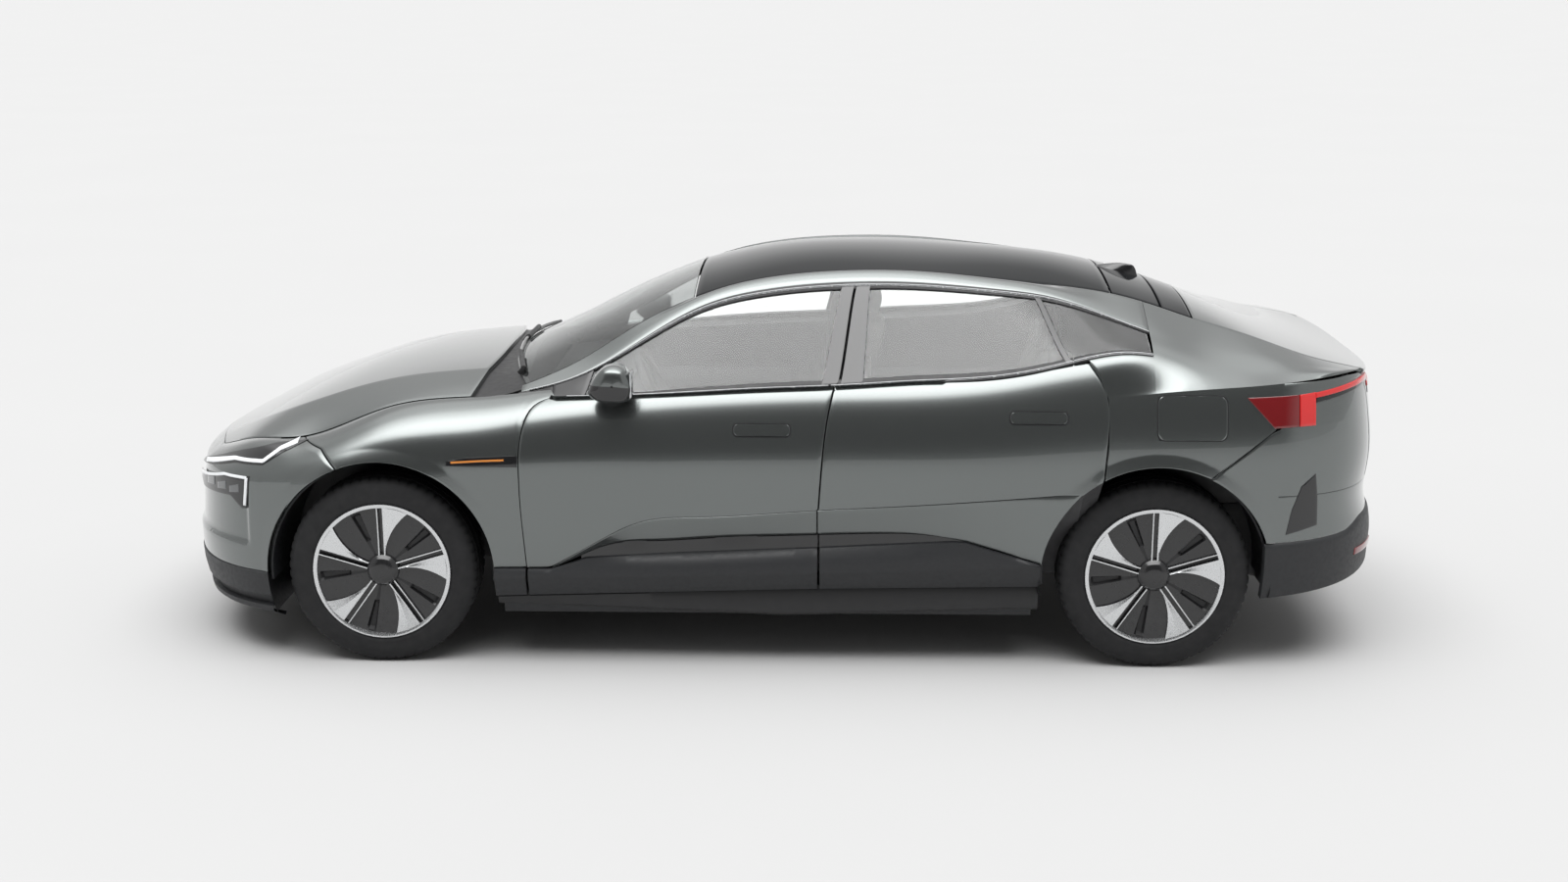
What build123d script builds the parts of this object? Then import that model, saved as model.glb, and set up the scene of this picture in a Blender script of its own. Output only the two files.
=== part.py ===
from build123d import *
import os

# Electric coupe sport utility vehicle, millimetres.
# Nose towards -X, driver's side towards -Y, ground at Z = 0.
# Side panels are drawn on the driver's side with w = distance from the centre plane.

# Overall sizes
WIDTH = 2008.0
HEIGHT = 1540.0
WHEELBASE = 3000.0
FRONT_AXLE = -1524.0
NOSE_OVERHANG = 896.0
TAIL_OVERHANG = 944.0
FLOOR_CLEARANCE = 175.0

# Running gear
TRACK = 1670.0
TYRE_RADIUS = 370.0
TYRE_WIDTH = 255.0
RIM_RADIUS = 268.0
RIM_WIDTH = 236.0
RIM_WALL = 34.0
HUB_RADIUS = 72.0
DISC_RADIUS = 178.0
DISC_THICK = 28.0
ARCH_RADIUS = 440.0
KINGPIN_INSET = 75.0
KINGPIN_REACH = 140.0
SPOKES = 5

# Panel build-up
PANEL = 40.0
GAP = 6.0
FIT = 0.3
GLASS = 6.0
GLASS_INSET = 9.0
DOOR_INNER = 230.0
DOOR_SETBACK = 34.0
SILL_WIDTH = 214.0
LEDGE = 46.0
LEDGE_DROP = 20.0
BELT_DROP = 10.0
FLOOR_THICK = 24.0
BATTERY_HEIGHT = 124.0

# Places worked out from the sizes above
HALF = WIDTH / 2
REAR_AXLE = FRONT_AXLE + WHEELBASE
MIDDLE = FRONT_AXLE + WHEELBASE * 0.58
NOSE = FRONT_AXLE - NOSE_OVERHANG
TAIL = REAR_AXLE + TAIL_OVERHANG
AXLE_Z = TYRE_RADIUS
WHEEL_W = TRACK / 2
KINGPIN_W = WHEEL_W - KINGPIN_INSET
FLOOR_TOP = FLOOR_CLEARANCE + BATTERY_HEIGHT + FLOOR_THICK
SILL_IN = HALF - SILL_WIDTH - 94.0
FAR = 3000.0

# Body side sections. Columns: station, then inset from the widest plane and height of
# the roof edge, the rail's lower edge, the belt, the shoulder, the widest line and the foot.
# Roof edge and rail heights are drops from the roof's highest point.
SIDE = (
    (FRONT_AXLE + 520, 282, 500, 250, 512, 160, 1028, 75, 940, 18, 760, 60, 290),
    (FRONT_AXLE + 924, 364, 303, 282, 350, 128, 1055, 58, 960, 14, 770, 60, 300),
    (FRONT_AXLE + 1240, 419, 154, 344, 194, 119, 1070, 52, 970, 10, 770, 60, 305),
    (MIDDLE - 216, 449, 80, 372, 110, 114, 1084, 50, 980, 8, 770, 60, 308),
    (MIDDLE + 114, 464, 44, 384, 74, 112, 1098, 48, 990, 6, 770, 60, 311),
    (REAR_AXLE - 776, 469, 56, 382, 90, 114, 1126, 50, 1000, 6, 770, 60, 315),
    (REAR_AXLE - 426, 477, 93, 364, 137, 116, 1174, 56, 1030, 6, 770, 56, 318),
    (REAR_AXLE - 156, 494, 128, 344, 216, 108, 1224, 64, 1066, 4, 790, 40, 318),
    (REAR_AXLE + 130, 522, 215, 330, 300, 130, 1190, 70, 1092, 6, 800, 34, 318),
    (REAR_AXLE + 400, 470, 300, 270, 365, 130, 1160, 78, 1112, 18, 820, 40, 318),
    (REAR_AXLE + 700, 340, 372, 200, 392, 130, 1142, 102, 1128, 60, 840, 80, 318),
)

BELT_COLUMN = 6

# Door and window outlines, each point a station and a height.
RAIL = (
    (FRONT_AXLE + 640, 470), (FRONT_AXLE + 924, 350), (FRONT_AXLE + 1134, 238), (FRONT_AXLE + 1334, 142),
    (MIDDLE - 140, 92), (MIDDLE + 190, 74), (REAR_AXLE - 805, 88), (REAR_AXLE - 542, 112),
    (REAR_AXLE - 342, 150), (REAR_AXLE - 209, 194), (REAR_AXLE - 102, 246), (REAR_AXLE - 20, 296),
)
FRONT_EDGE = (
    (FRONT_AXLE + 684, 1036), (FRONT_AXLE + 600, 1012), (FRONT_AXLE + 562, 937),
    (FRONT_AXLE + 548, 783), (FRONT_AXLE + 553, 628), (FRONT_AXLE + 563, 471), (FRONT_AXLE + 578, 281),
)
MIDDLE_EDGE = ((MIDDLE + 16, 1090), (MIDDLE + 11.7, 1030), (MIDDLE - 40, 308))
REAR_EDGE = (
    (REAR_AXLE - 266, 1203), (REAR_AXLE - 202, 1080), (REAR_AXLE - 200, 909),
    (REAR_AXLE - 214, 756), (REAR_AXLE - 320, 520), (REAR_AXLE - 424, 318),
)

# Bonnet sections. Columns: station, half width's inset, edge height, crown height.
BONNET = (
    (NOSE + 175, 420, 782, 812),
    (NOSE + 330, 322, 842, 892),
    (FRONT_AXLE - 320, 306, 868, 990),
    (FRONT_AXLE + 8, 344, 1008, 1076),
    (FRONT_AXLE + 390, 326, 1058, 1108),
)

# Fender sections. Columns: station, then inset and height of the bonnet edge,
# the shoulder, the widest line and the foot.
FENDER = (
    (FRONT_AXLE - 330, 300, 862, 160, 838, 62, 700, 56, 290),
    (FRONT_AXLE - 120, 322, 958, 142, 926, 26, 745, 26, 290),
    (FRONT_AXLE + 120, 328, 1024, 132, 972, 16, 770, 16, 290),
    (FRONT_AXLE + 390, 312, 1056, 122, 996, 16, 770, 26, 290),
    (FRONT_AXLE + 690, 232, 1040, 118, 1000, 18, 770, 60, 290),
)

# Windscreen and roof sections. Columns: station, half width's inset, edge drop, crown drop.
WINDSCREEN = (
    (FRONT_AXLE + 500, 316, 484, 412),
    (FRONT_AXLE + 760, 350, 372, 282),
    (FRONT_AXLE + 1215, 430, 160, 92),
)
ROOF = (
    (FRONT_AXLE + 1215, 430, 160, 92),
    (MIDDLE - 100, 472, 62, 14),
    (MIDDLE + 260, 482, 44, 0),
    (REAR_AXLE - 520, 492, 84, 36),
    (REAR_AXLE - 148, 508, 129, 83),
)
REAR_ROOF = (
    (REAR_AXLE - 148, 508, 129, 83),
    (REAR_AXLE - 50, 520, 152, 106),
    (REAR_AXLE + 48, 534, 181, 136),
)
DECK = (
    (REAR_AXLE + 54, 538, 184, 138),
    (REAR_AXLE + 230, 508, 250, 208),
    (REAR_AXLE + 480, 440, 326, 290),
    (REAR_AXLE + 690, 372, 378, 350),
    (REAR_AXLE + 880, 330, 420, 404),
)

# Nose and tail plans. Columns: height, reach from the tip, reach of the corner, inset of the corner,
# inset of the flank.
NOSE_PLAN = (
    (215, 40, 200, 330, 110),
    (330, 6, 180, 300, 76),
    (520, 0, 170, 290, 64),
    (700, 12, 190, 300, 62),
    (800, 90, 260, 320, 80),
    (880, 190, 350, 350, 110),
)
TAIL_PLAN = (
    (215, 90, 190, 360, 120),
    (390, 0, 110, 330, 60),
    (640, 35, 140, 330, 50),
    (830, 14, 130, 340, 60),
    (1000, 30, 150, 345, 80),
    (1110, 50, 170, 350, 110),
)


def level(table, station, column):
    """Value of a table's column at a station, straight between its rows."""
    if station <= table[0][0]:
        return table[0][column]
    for low, high in zip(table, table[1:]):
        if station <= high[0]:
            share = (station - low[0]) / (high[0] - low[0])
            return low[column] + share * (high[column] - low[column])
    return table[-1][column]


def at(x, w, z):
    """Point on the driver's side at distance w from the centre plane."""
    return Vector(x, -w, z)


def other(shape):
    """The same shape on the passenger's side."""
    return mirror(shape, about=Plane.XZ)


def polygon(points):
    return Face(Wire.make_polygon(points, close=True))


def prism(outline, inner, outer):
    """Side outline of stations and heights, carried from w = inner to w = outer."""
    face = polygon([at(x, inner, z) for x, z in outline])
    return extrude(face, amount=outer - inner, dir=(0, -1, 0))


def block(x0, x1, w0, w1, z0, z1):
    return prism([(x0, z0), (x1, z0), (x1, z1), (x0, z1)], w0, w1)


def round_bar(x, z, radius, w0, w1):
    """Cylinder across the car from w0 to w1."""
    return Solid.make_cylinder(radius, w1 - w0, Plane(at(x, w0, z), z_dir=(0, -1, 0)))


def shifted(outline, dx, dz):
    return [(x + dx, z + dz) for x, z in outline]


def side_points(row):
    """Outer points of a body side section, roof edge down to foot."""
    x, a, a_drop, b, b_drop, m, m_z, c, c_z, d, d_z, e, e_z = row
    pairs = ((a, HEIGHT - a_drop), (b, HEIGHT - b_drop), (m, m_z), (c, c_z), (d, d_z), (e, e_z))
    return x, [(HALF - inset, z) for inset, z in pairs]


def side_section(row, depth):
    """Closed wall section: outer skin, then the same line moved in by depth."""
    x, (a, b, m, c, d, e) = side_points(row)
    inner = [(a[0] - LEDGE, a[1] - depth), (b[0] - depth * 0.7, b[1] - depth * 0.7)]
    inner += [(p[0] - depth, p[1] - depth * 0.2) for p in (m, c)]
    inner += [(p[0] - depth, p[1]) for p in (d, e)]
    ia, ib, im, ic, id_, ie = [at(x, *p) for p in inner]
    oa, ob, om, oc, od, oe = [at(x, *p) for p in (a, b, m, c, d, e)]
    ledge_in = at(x, a[0] - LEDGE, a[1] - LEDGE_DROP)
    ledge_out = at(x, a[0] - 4, a[1] - LEDGE_DROP)
    edges = [
        Edge.make_line(oa, ob), Edge.make_line(ob, om), Edge.make_three_point_arc(om, oc, od),
        Edge.make_line(od, oe), Edge.make_line(oe, ie), Edge.make_line(ie, id_),
        Edge.make_three_point_arc(id_, ic, im), Edge.make_line(im, ib), Edge.make_line(ib, ia),
        Edge.make_line(ia, ledge_in), Edge.make_line(ledge_in, ledge_out), Edge.make_line(ledge_out, oa),
    ]
    return Face(Wire(edges))


def door_core_section(row):
    """Door box behind the outer wall, out to the wall's inner line."""
    x, (a, b, m, c, d, e) = side_points(row)
    face = HALF - DOOR_INNER
    reach = PANEL * 0.6
    points = [(face, m[1] - 14), (m[0] - reach, m[1] - 14), (c[0] - reach, c[1] - 8)]
    points += [(d[0] - reach, d[1]), (e[0] - reach, e[1]), (face, e[1])]
    return polygon([at(x, *p) for p in points])


def glass_section(row):
    """Side glass between rail and belt, set in from the skin."""
    x, (a, b, m, c, d, e) = side_points(row)
    run = Vector(m[0] - b[0], m[1] - b[1], 0).normalized()
    in_w = run.Y
    in_z = -run.X
    points = []
    for place, depth in ((b, GLASS_INSET), (m, GLASS_INSET), (m, GLASS_INSET + GLASS), (b, GLASS_INSET + GLASS)):
        points.append(at(x, place[0] + in_w * depth, place[1] + in_z * depth))
    return polygon(points)


def crowned(x, half, edge, crown, thick):
    """Closed section of a panel across the car, arched to its crown."""
    edges = [
        Edge.make_three_point_arc((x, -half, edge), (x, 0, crown), (x, half, edge)),
        Edge.make_line((x, half, edge), (x, half, edge - thick)),
        Edge.make_three_point_arc((x, half, edge - thick), (x, 0, crown - thick), (x, -half, edge - thick)),
        Edge.make_line((x, -half, edge - thick), (x, -half, edge)),
    ]
    return Face(Wire(edges))


def drop_panel(table, thick):
    rows = [(x, HALF - inset, HEIGHT - edge, HEIGHT - crown) for x, inset, edge, crown in table]
    return loft([crowned(*row, thick) for row in rows])


def plan_section(z, tip, corner_x, corner_w, flank_x, flank_w, depth, way):
    """Wall section of nose or tail in plan, moved in by depth."""
    outer = [(flank_x, -flank_w), (corner_x, -corner_w), (tip, 0), (corner_x, corner_w), (flank_x, flank_w)]
    bend = ((flank_x + corner_x) / 2 + way * 60, (flank_w + corner_w) / 2 + 42)
    points = {name: Vector(p[0], p[1], z) for name, p in zip("abcde", outer)}
    inset = [(flank_x, -flank_w + depth), (corner_x - way * depth, -corner_w + depth * 0.6), (tip - way * depth, 0)]
    inset += [(corner_x - way * depth, corner_w - depth * 0.6), (flank_x, flank_w - depth)]
    inner = {name: Vector(p[0], p[1], z) for name, p in zip("abcde", inset)}
    near = Vector(bend[0], -bend[1], z)
    far = Vector(bend[0], bend[1], z)
    near_in = Vector(bend[0] - way * depth * 0.8, -bend[1] + depth * 0.8, z)
    far_in = Vector(bend[0] - way * depth * 0.8, bend[1] - depth * 0.8, z)
    edges = [
        Edge.make_three_point_arc(points["a"], near, points["b"]),
        Edge.make_three_point_arc(points["b"], points["c"], points["d"]),
        Edge.make_three_point_arc(points["d"], far, points["e"]),
        Edge.make_line(points["e"], inner["e"]),
        Edge.make_three_point_arc(inner["e"], far_in, inner["d"]),
        Edge.make_three_point_arc(inner["d"], inner["c"], inner["b"]),
        Edge.make_three_point_arc(inner["b"], near_in, inner["a"]),
        Edge.make_line(inner["a"], points["a"]),
    ]
    return Face(Wire(edges))


def plan_shell(table, tip, flank_x, way, depth):
    rows = []
    for z, back, corner_back, corner_in, flank_in in table:
        rows.append(plan_section(z, tip - way * back, tip - way * (back + corner_back), HALF - corner_in,
                                 flank_x, HALF - flank_in, depth, way))
    return loft(rows)


def largest(shape, count):
    """The biggest solids of a cut form."""
    return sorted(shape.solids(), key=lambda piece: piece.volume, reverse=True)[:count]


NODES = {}


def keep(name, shape):
    NODES[name] = shape


def keep_pair(name, shape):
    keep(name + "_left", shape)
    keep(name + "_right", other(shape))


def lowest(shape):
    """The solid of a cut form that lies lowest."""
    return min(shape.solids(), key=lambda piece: piece.center().Z)


def keep_both(name, shape):
    keep(name, Compound([shape.solids()[0], other(shape).solids()[0]]))


# Arch clearances of all four wheels
front_arch = round_bar(FRONT_AXLE, AXLE_Z, ARCH_RADIUS, KINGPIN_W - 320, FAR)
rear_arch = round_bar(REAR_AXLE, AXLE_Z, ARCH_RADIUS, SILL_IN - 60, FAR)

# Side wall, side glass and door core, each one long form that the panels are cut from
side_wall = loft([side_section(row, PANEL) for row in SIDE])
side_glass = loft([glass_section(row) for row in SIDE[:9]])
door_core = loft([door_core_section(row) for row in SIDE[:8]])

rail_line = [(x, HEIGHT - drop) for x, drop in RAIL]
rear_glass_foot = [(REAR_AXLE - 75, 1240), (REAR_AXLE - 262, 1200)]
quarter_line = [(REAR_AXLE + 400, 318), (REAR_AXLE + 312, 690), (REAR_AXLE + 455, 935), (REAR_AXLE + 340, 1062)]
quarter_top = [(REAR_AXLE + 690, 1120), (REAR_AXLE + 690, HEIGHT + 200), (FRONT_AXLE + 530, HEIGHT + 200)]
body_outline = [(FRONT_AXLE + 530, 1000)] + rail_line + rear_glass_foot + shifted(REAR_EDGE, GAP, 0)[1:5]
body_outline += [(REAR_AXLE - 300, 318)] + quarter_line + quarter_top
flap_outline = [(REAR_AXLE - 4, 925), (REAR_AXLE + 246, 925), (REAR_AXLE + 246, 1048), (REAR_AXLE - 4, 1048)]

deck_space = loft([crowned(x, HALF - inset + GAP, HEIGHT - edge + 160, HEIGHT - crown + 160, 260)
                   for x, inset, edge, crown in DECK])
body_side = side_wall & prism(body_outline, 0, FAR)
body_side = body_side - rear_arch - deck_space
flap_cut = prism(flap_outline, HALF - 120, FAR)
body_side_flapped = body_side - flap_cut
flap_face = prism([(REAR_AXLE, 929), (REAR_AXLE + 242, 929), (REAR_AXLE + 242, 1044), (REAR_AXLE, 1044)], 0, FAR)
FLAP_THICK = 14.0
charge_flap = (side_wall & flap_face) - Pos(0, FLAP_THICK, 0) * side_wall
keep("body_side_left", body_side_flapped)
keep("body_side_right", other(body_side))
keep("charge_flap", charge_flap)


def door_outline(front, rear, top):
    """Outline of a door: belt from front to rear, rear edge down, front edge up."""
    return list(top) + list(rear[1:]) + list(reversed(front[1:]))


def belt(x):
    """Height of the doors' upper edge, a little below the body's belt."""
    return level(SIDE, x, BELT_COLUMN) - BELT_DROP


def belt_line(x0, x1):
    stations = [x0] + [row[0] for row in SIDE if x0 + 40 < row[0] < x1 - 40] + [x1]
    return [(x, belt(x)) for x in stations]


front_rear = shifted(MIDDLE_EDGE, -GAP / 2, 0)
rear_front = shifted(MIDDLE_EDGE, GAP / 2, 0)
front_front = shifted(FRONT_EDGE, GAP / 2, 0)
rear_rear = shifted(REAR_EDGE, -GAP / 2, 0)
front_top = belt_line(front_front[0][0], front_rear[0][0])
rear_top = belt_line(rear_front[0][0], rear_rear[0][0])


def door(front, rear, top):
    """Skin out to the shut lines, and behind it a core set back so that it clears its neighbours as it swings."""
    skin = side_wall & prism(door_outline(front, rear, top), SILL_IN, FAR)
    inner_front = shifted(front, DOOR_SETBACK, 0)
    inner_rear = shifted(rear, -DOOR_SETBACK, 0)
    inner_top = belt_line(top[0][0] + DOOR_SETBACK, top[-1][0] - DOOR_SETBACK)
    core = door_core & prism(door_outline(inner_front, inner_rear, inner_top), SILL_IN, FAR)
    return skin + core


def scoop(front_x, rear_x):
    """Hollowed facet along the doors' lower third, facing down."""
    outline = [(front_x, 400), (front_x + 330, 576), (MIDDLE - 43, 634)]
    outline += [(rear_x, 700), (rear_x, 540), (front_x + 200, 500)]
    lean = Plane(at(MIDDLE, HALF - 18, 640), x_dir=(1, 0, 0), z_dir=(0, -0.958, -0.287))
    outside = extrude(Face.make_rect(6000, 900, lean), amount=300, dir=lean.z_dir)
    return prism(outline, HALF - 120, FAR) & outside


hollow = scoop(FRONT_AXLE + 664, REAR_AXLE - 420)
front_door = largest(door(front_front, front_rear, front_top) - hollow, 1)[0]
rear_door = largest(door(rear_front, rear_rear, rear_top) - hollow - rear_arch, 1)[0]
keep_pair("door_front", front_door)
keep_pair("door_rear", rear_door)

# Frameless side glass, front door, rear door and fixed quarter light
front_foot = [(x, z + FIT) for x, z in reversed(front_top)]
rear_foot = [(x, z + FIT) for x, z in reversed(rear_top[:-1])]
light_corner = (REAR_AXLE - 335, belt(REAR_AXLE - 335))
front_pane = [(FRONT_AXLE + 830, HEIGHT - 405)] + [(x, z - GAP) for x, z in rail_line[1:5]]
front_pane += [(MIDDLE + 88, HEIGHT - 82)] + [(MIDDLE + 22 - GAP / 2, front_foot[0][1])] + front_foot[1:]
rear_pane = [(MIDDLE + 88 + GAP, HEIGHT - 82)] + [(x, z - GAP) for x, z in rail_line[5:8]]
rear_pane += [(REAR_AXLE - 465, HEIGHT - 136), (light_corner[0], light_corner[1] + FIT)] + rear_foot[:-1]
rear_pane += [(MIDDLE + 22 + GAP / 2, rear_foot[-1][1])]
light_pane = [(light_corner[0] + GAP, light_corner[1] + GAP), (REAR_AXLE - 455, HEIGHT - 138)]
light_pane += [(x, z - FIT) for x, z in rail_line[8:11]] + [(REAR_AXLE - 80, 1246), (REAR_AXLE - 266, 1206)]
keep_pair("glass_front", side_glass & prism(front_pane, 0, FAR))
keep_pair("glass_rear", side_glass & prism(rear_pane, 0, FAR))
quarter_light = side_glass & prism(light_pane, 0, FAR)
keep("quarter_glass", Compound([quarter_light.solids()[0], other(quarter_light).solids()[0]]))


def fender_section(row):
    x, e_in, e_z, s_in, s_z, m_in, m_z, f_in, f_z = row
    outer = [(HALF - e_in, e_z), (HALF - s_in, s_z), (HALF - m_in, m_z), (HALF - f_in, f_z)]
    e, s, m, f = [at(x, *p) for p in outer]
    ie, is_, im, if_ = [at(x, p[0] - dw, p[1] - dz) for p, dw, dz in
                        zip(outer, (0, PANEL * 0.7, PANEL, PANEL), (PANEL, PANEL * 0.7, 0, 0))]
    edges = [
        Edge.make_three_point_arc(e, s, m), Edge.make_line(m, f), Edge.make_line(f, if_), Edge.make_line(if_, im),
        Edge.make_three_point_arc(im, is_, ie), Edge.make_line(ie, e),
    ]
    return Face(Wire(edges))


fender_outline = [(FRONT_AXLE - 316, 870), (FRONT_AXLE - 316, HEIGHT), (FRONT_AXLE + 684, HEIGHT)]
fender_outline += shifted(FRONT_EDGE, -GAP / 2, 0)
fender_outline += [(FRONT_AXLE + 400, 281), (FRONT_AXLE, 500), (FRONT_AXLE - 150, 800)]
fender = loft([fender_section(row) for row in FENDER]) & prism(fender_outline, 0, FAR)
fender = fender - front_arch
fender = fender - body_side
keep_pair("fender", fender)

bonnet_rows = [(x, HALF - inset, edge, crown) for x, inset, edge, crown in BONNET]
keep("bonnet", loft([crowned(*row, PANEL) for row in bonnet_rows]))
bonnet_space = loft([crowned(x, half + GAP, edge + 150, crown + 150, 150 + PANEL + GAP)
                     for x, half, edge, crown in bonnet_rows])

# Nose, its lamps and the dark lower skirt
nose_flank = FRONT_AXLE - 325
nose_shell = plan_shell(NOSE_PLAN, NOSE, nose_flank, -1, 70.0)
nose_shell = nose_shell - bonnet_space - front_arch - other(front_arch)
nose_shell = nose_shell - block(NOSE - 10, NOSE + 400, -HALF, HALF, 838, 1200)
upper_lamp = prism([(NOSE + 165, 772), (NOSE + 390, 770), (NOSE + 590, 862), (NOSE + 240, 800)], 420, FAR)
lower_lamp = prism([(NOSE + 60, 722), (NOSE + 325, 690), (NOSE + 315, 555), (NOSE + 290, 560), (NOSE + 280, 655)], 420, FAR)
skirt_line = [(NOSE - 200, 200), (FRONT_AXLE, 200), (FRONT_AXLE, 330), (NOSE - 200, 330)]
skirt_zone = prism(skirt_line, -FAR, FAR)
lamp_zone = upper_lamp + lower_lamp
front_bumper = largest(nose_shell - skirt_zone - lamp_zone - other(lamp_zone), 1)[0]
keep("front_bumper", front_bumper)
keep("front_skirt", nose_shell & skirt_zone)
left_lamps = largest(nose_shell & lamp_zone, 2)
keep("headlamps", Compound(left_lamps + [other(lamp) for lamp in left_lamps]))

# Tail: bumper, dark skirt, lamps, and the boot lid that carries the deck and rear face
tail_flank = REAR_AXLE + 285
quarter_zone = prism([(REAR_AXLE, 318), (REAR_AXLE + 400 + GAP, 318), (REAR_AXLE + 312 + GAP, 690),
                      (REAR_AXLE + 455 + GAP, 935), (REAR_AXLE + 340 + GAP, 1062), (REAR_AXLE + 560, 1100),
                      (REAR_AXLE + 560, HEIGHT), (REAR_AXLE, HEIGHT)], 500, FAR)
tail_shell = plan_shell(TAIL_PLAN, TAIL, tail_flank, 1, 60.0) - rear_arch - other(rear_arch)
tail_shell = tail_shell - quarter_zone - other(quarter_zone)
deck_gap = loft([crowned(x, HALF - inset + 60, HEIGHT - edge + 100, HEIGHT - crown + 100, 99 + PANEL)
                 for x, inset, edge, crown in DECK])
LID_HALF = HALF - 360
LID_FOOT = 700.0
lid_zone = block(REAR_AXLE + 500, TAIL + 50, -LID_HALF, LID_HALF, LID_FOOT, HEIGHT)
lid_gap = block(REAR_AXLE + 400, TAIL + 50, -LID_HALF - GAP, LID_HALF + GAP, LID_FOOT - GAP, HEIGHT)
lamp_line = [(REAR_AXLE + 346, 1062), (REAR_AXLE + 460, 938), (TAIL + 50, 945), (TAIL + 50, 1090), (REAR_AXLE + 560, 1090)]
tail_lamp_zone = prism(lamp_line, LID_HALF + GAP, FAR)
tail_skirt_line = [(REAR_AXLE, 100), (TAIL + 50, 100), (TAIL + 50, 480), (REAR_AXLE, 440)]
tail_skirt = prism(tail_skirt_line, -FAR, FAR)
bumper = tail_shell - lid_gap - tail_skirt - tail_lamp_zone - other(tail_lamp_zone)
bumper = bumper - block(REAR_AXLE, TAIL + 50, -HALF, HALF, 1085, HEIGHT)
bumper = largest(bumper, 1)[0]
keep("rear_bumper", bumper)
keep("rear_skirt", tail_shell & tail_skirt)
tail_lamp = largest(tail_shell & tail_lamp_zone, 1)[0]
keep("tail_lamps", Compound([tail_lamp, other(tail_lamp)]))
deck = drop_panel(DECK, PANEL)
rear_face = (tail_shell & lid_zone) - deck_gap
keep("tailgate", deck + rear_face)

windscreen = drop_panel(WINDSCREEN, 14.0)
roof_glass = largest(drop_panel(ROOF, 14.0) - body_side - other(body_side), 1)[0]
roof_rear = drop_panel(REAR_ROOF, 18.0)
keep("windscreen", windscreen)
keep("roof_glass", roof_glass)
keep("roof_rear", roof_rear)

# Floor with firewall, heel board and boot floor, and the battery below it
BOOT_Z = 560.0
BOOT_HALF = SILL_IN - 56
FIREWALL = FRONT_AXLE + ARCH_RADIUS + GAP
HEEL = REAR_AXLE - ARCH_RADIUS - 50
floor = block(FIREWALL, HEEL + FLOOR_THICK, -SILL_IN, SILL_IN, FLOOR_TOP - FLOOR_THICK, FLOOR_TOP)
floor = floor + block(FIREWALL, FIREWALL + FLOOR_THICK, -SILL_IN, SILL_IN, FLOOR_TOP - FLOOR_THICK, 950)
floor = floor + block(HEEL, HEEL + FLOOR_THICK, -BOOT_HALF, BOOT_HALF, FLOOR_TOP - FLOOR_THICK, BOOT_Z + FLOOR_THICK)
floor = floor + block(HEEL, TAIL - 235, -BOOT_HALF, BOOT_HALF, BOOT_Z, BOOT_Z + FLOOR_THICK)
floor = floor + block(TAIL - 240, TAIL - 20, -300, 300, BOOT_Z, BOOT_Z + FLOOR_THICK) - bumper
keep("floor_pan", largest(floor, 1)[0])
battery = block(FIREWALL + 60, HEEL - 60, -SILL_IN + 40, SILL_IN - 40, FLOOR_CLEARANCE,
                FLOOR_CLEARANCE + BATTERY_HEIGHT - FIT)
keep("battery_pack", chamfer(battery.edges().group_by(Axis.Z)[0], 20))

# Sills along the floor's edges
sill_ends = (FRONT_AXLE + ARCH_RADIUS + 30, REAR_AXLE - ARCH_RADIUS - 30)
sill_profile = [(SILL_IN, 195), (HALF - 104, 195), (HALF - 78, 262), (HALF - DOOR_INNER - 12, 262),
                (HALF - DOOR_INNER - 12, FLOOR_TOP), (SILL_IN, FLOOR_TOP)]
sill = extrude(polygon([at(sill_ends[0], w, z) for w, z in sill_profile]), amount=sill_ends[1] - sill_ends[0],
               dir=(1, 0, 0))
keep_both("sills", sill)

# Pillars that carry the doors' hinges
core_front = DOOR_SETBACK + GAP / 2
HINGES = (400, 830)
HINGE_HEIGHT = 60.0


def hinge_blocks(edge_line, back, depth):
    """Hinge blocks whose rear faces stand just ahead of the door box."""
    blocks = []
    for z in HINGES:
        ordered = sorted([(height, x) for x, height in edge_line])
        face = min(level(ordered, z, 1), level(ordered, z + HINGE_HEIGHT, 1)) + core_front - FIT
        blocks.append(block(face - back, face, SILL_IN + 40, HALF - DOOR_INNER + depth, z, z + HINGE_HEIGHT))
    return blocks


post = block(FIREWALL + FLOOR_THICK, FIREWALL + 130, SILL_IN, HALF - DOOR_INNER - 12, FLOOR_TOP, 985)
for hinge in hinge_blocks(FRONT_EDGE, 60, 70):
    post = post + hinge
keep_both("front_pillars", post)
pillar = loft([
    polygon([at(MIDDLE - 30, SILL_IN, FLOOR_TOP), at(MIDDLE + 90, SILL_IN, FLOOR_TOP),
             at(MIDDLE + 90, HALF - DOOR_INNER - 12, FLOOR_TOP), at(MIDDLE - 30, HALF - DOOR_INNER - 12, FLOOR_TOP)]),
    polygon([at(MIDDLE - 20, SILL_IN, 1060), at(MIDDLE + 70, SILL_IN, 1060),
             at(MIDDLE + 70, HALF - DOOR_INNER - 12, 1060), at(MIDDLE - 20, HALF - DOOR_INNER - 12, 1060)]),
], ruled=True)
upper = loft([
    polygon([at(MIDDLE - 20, SILL_IN, 1060), at(MIDDLE + 70, SILL_IN, 1060),
             at(MIDDLE + 70, HALF - DOOR_INNER - 12, 1060), at(MIDDLE - 20, HALF - DOOR_INNER - 12, 1060)]),
    polygon([at(MIDDLE + 60, HALF - 470, HEIGHT - 60), at(MIDDLE + 120, HALF - 470, HEIGHT - 60),
             at(MIDDLE + 120, HALF - 415, HEIGHT - 60), at(MIDDLE + 60, HALF - 415, HEIGHT - 60)]),
], ruled=True)
pillar = pillar + upper
for hinge in hinge_blocks(MIDDLE_EDGE, 39, 70):
    pillar = pillar + hinge
pillar = largest(pillar - body_side - roof_glass, 1)[0]
keep_both("middle_pillars", pillar)

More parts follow.
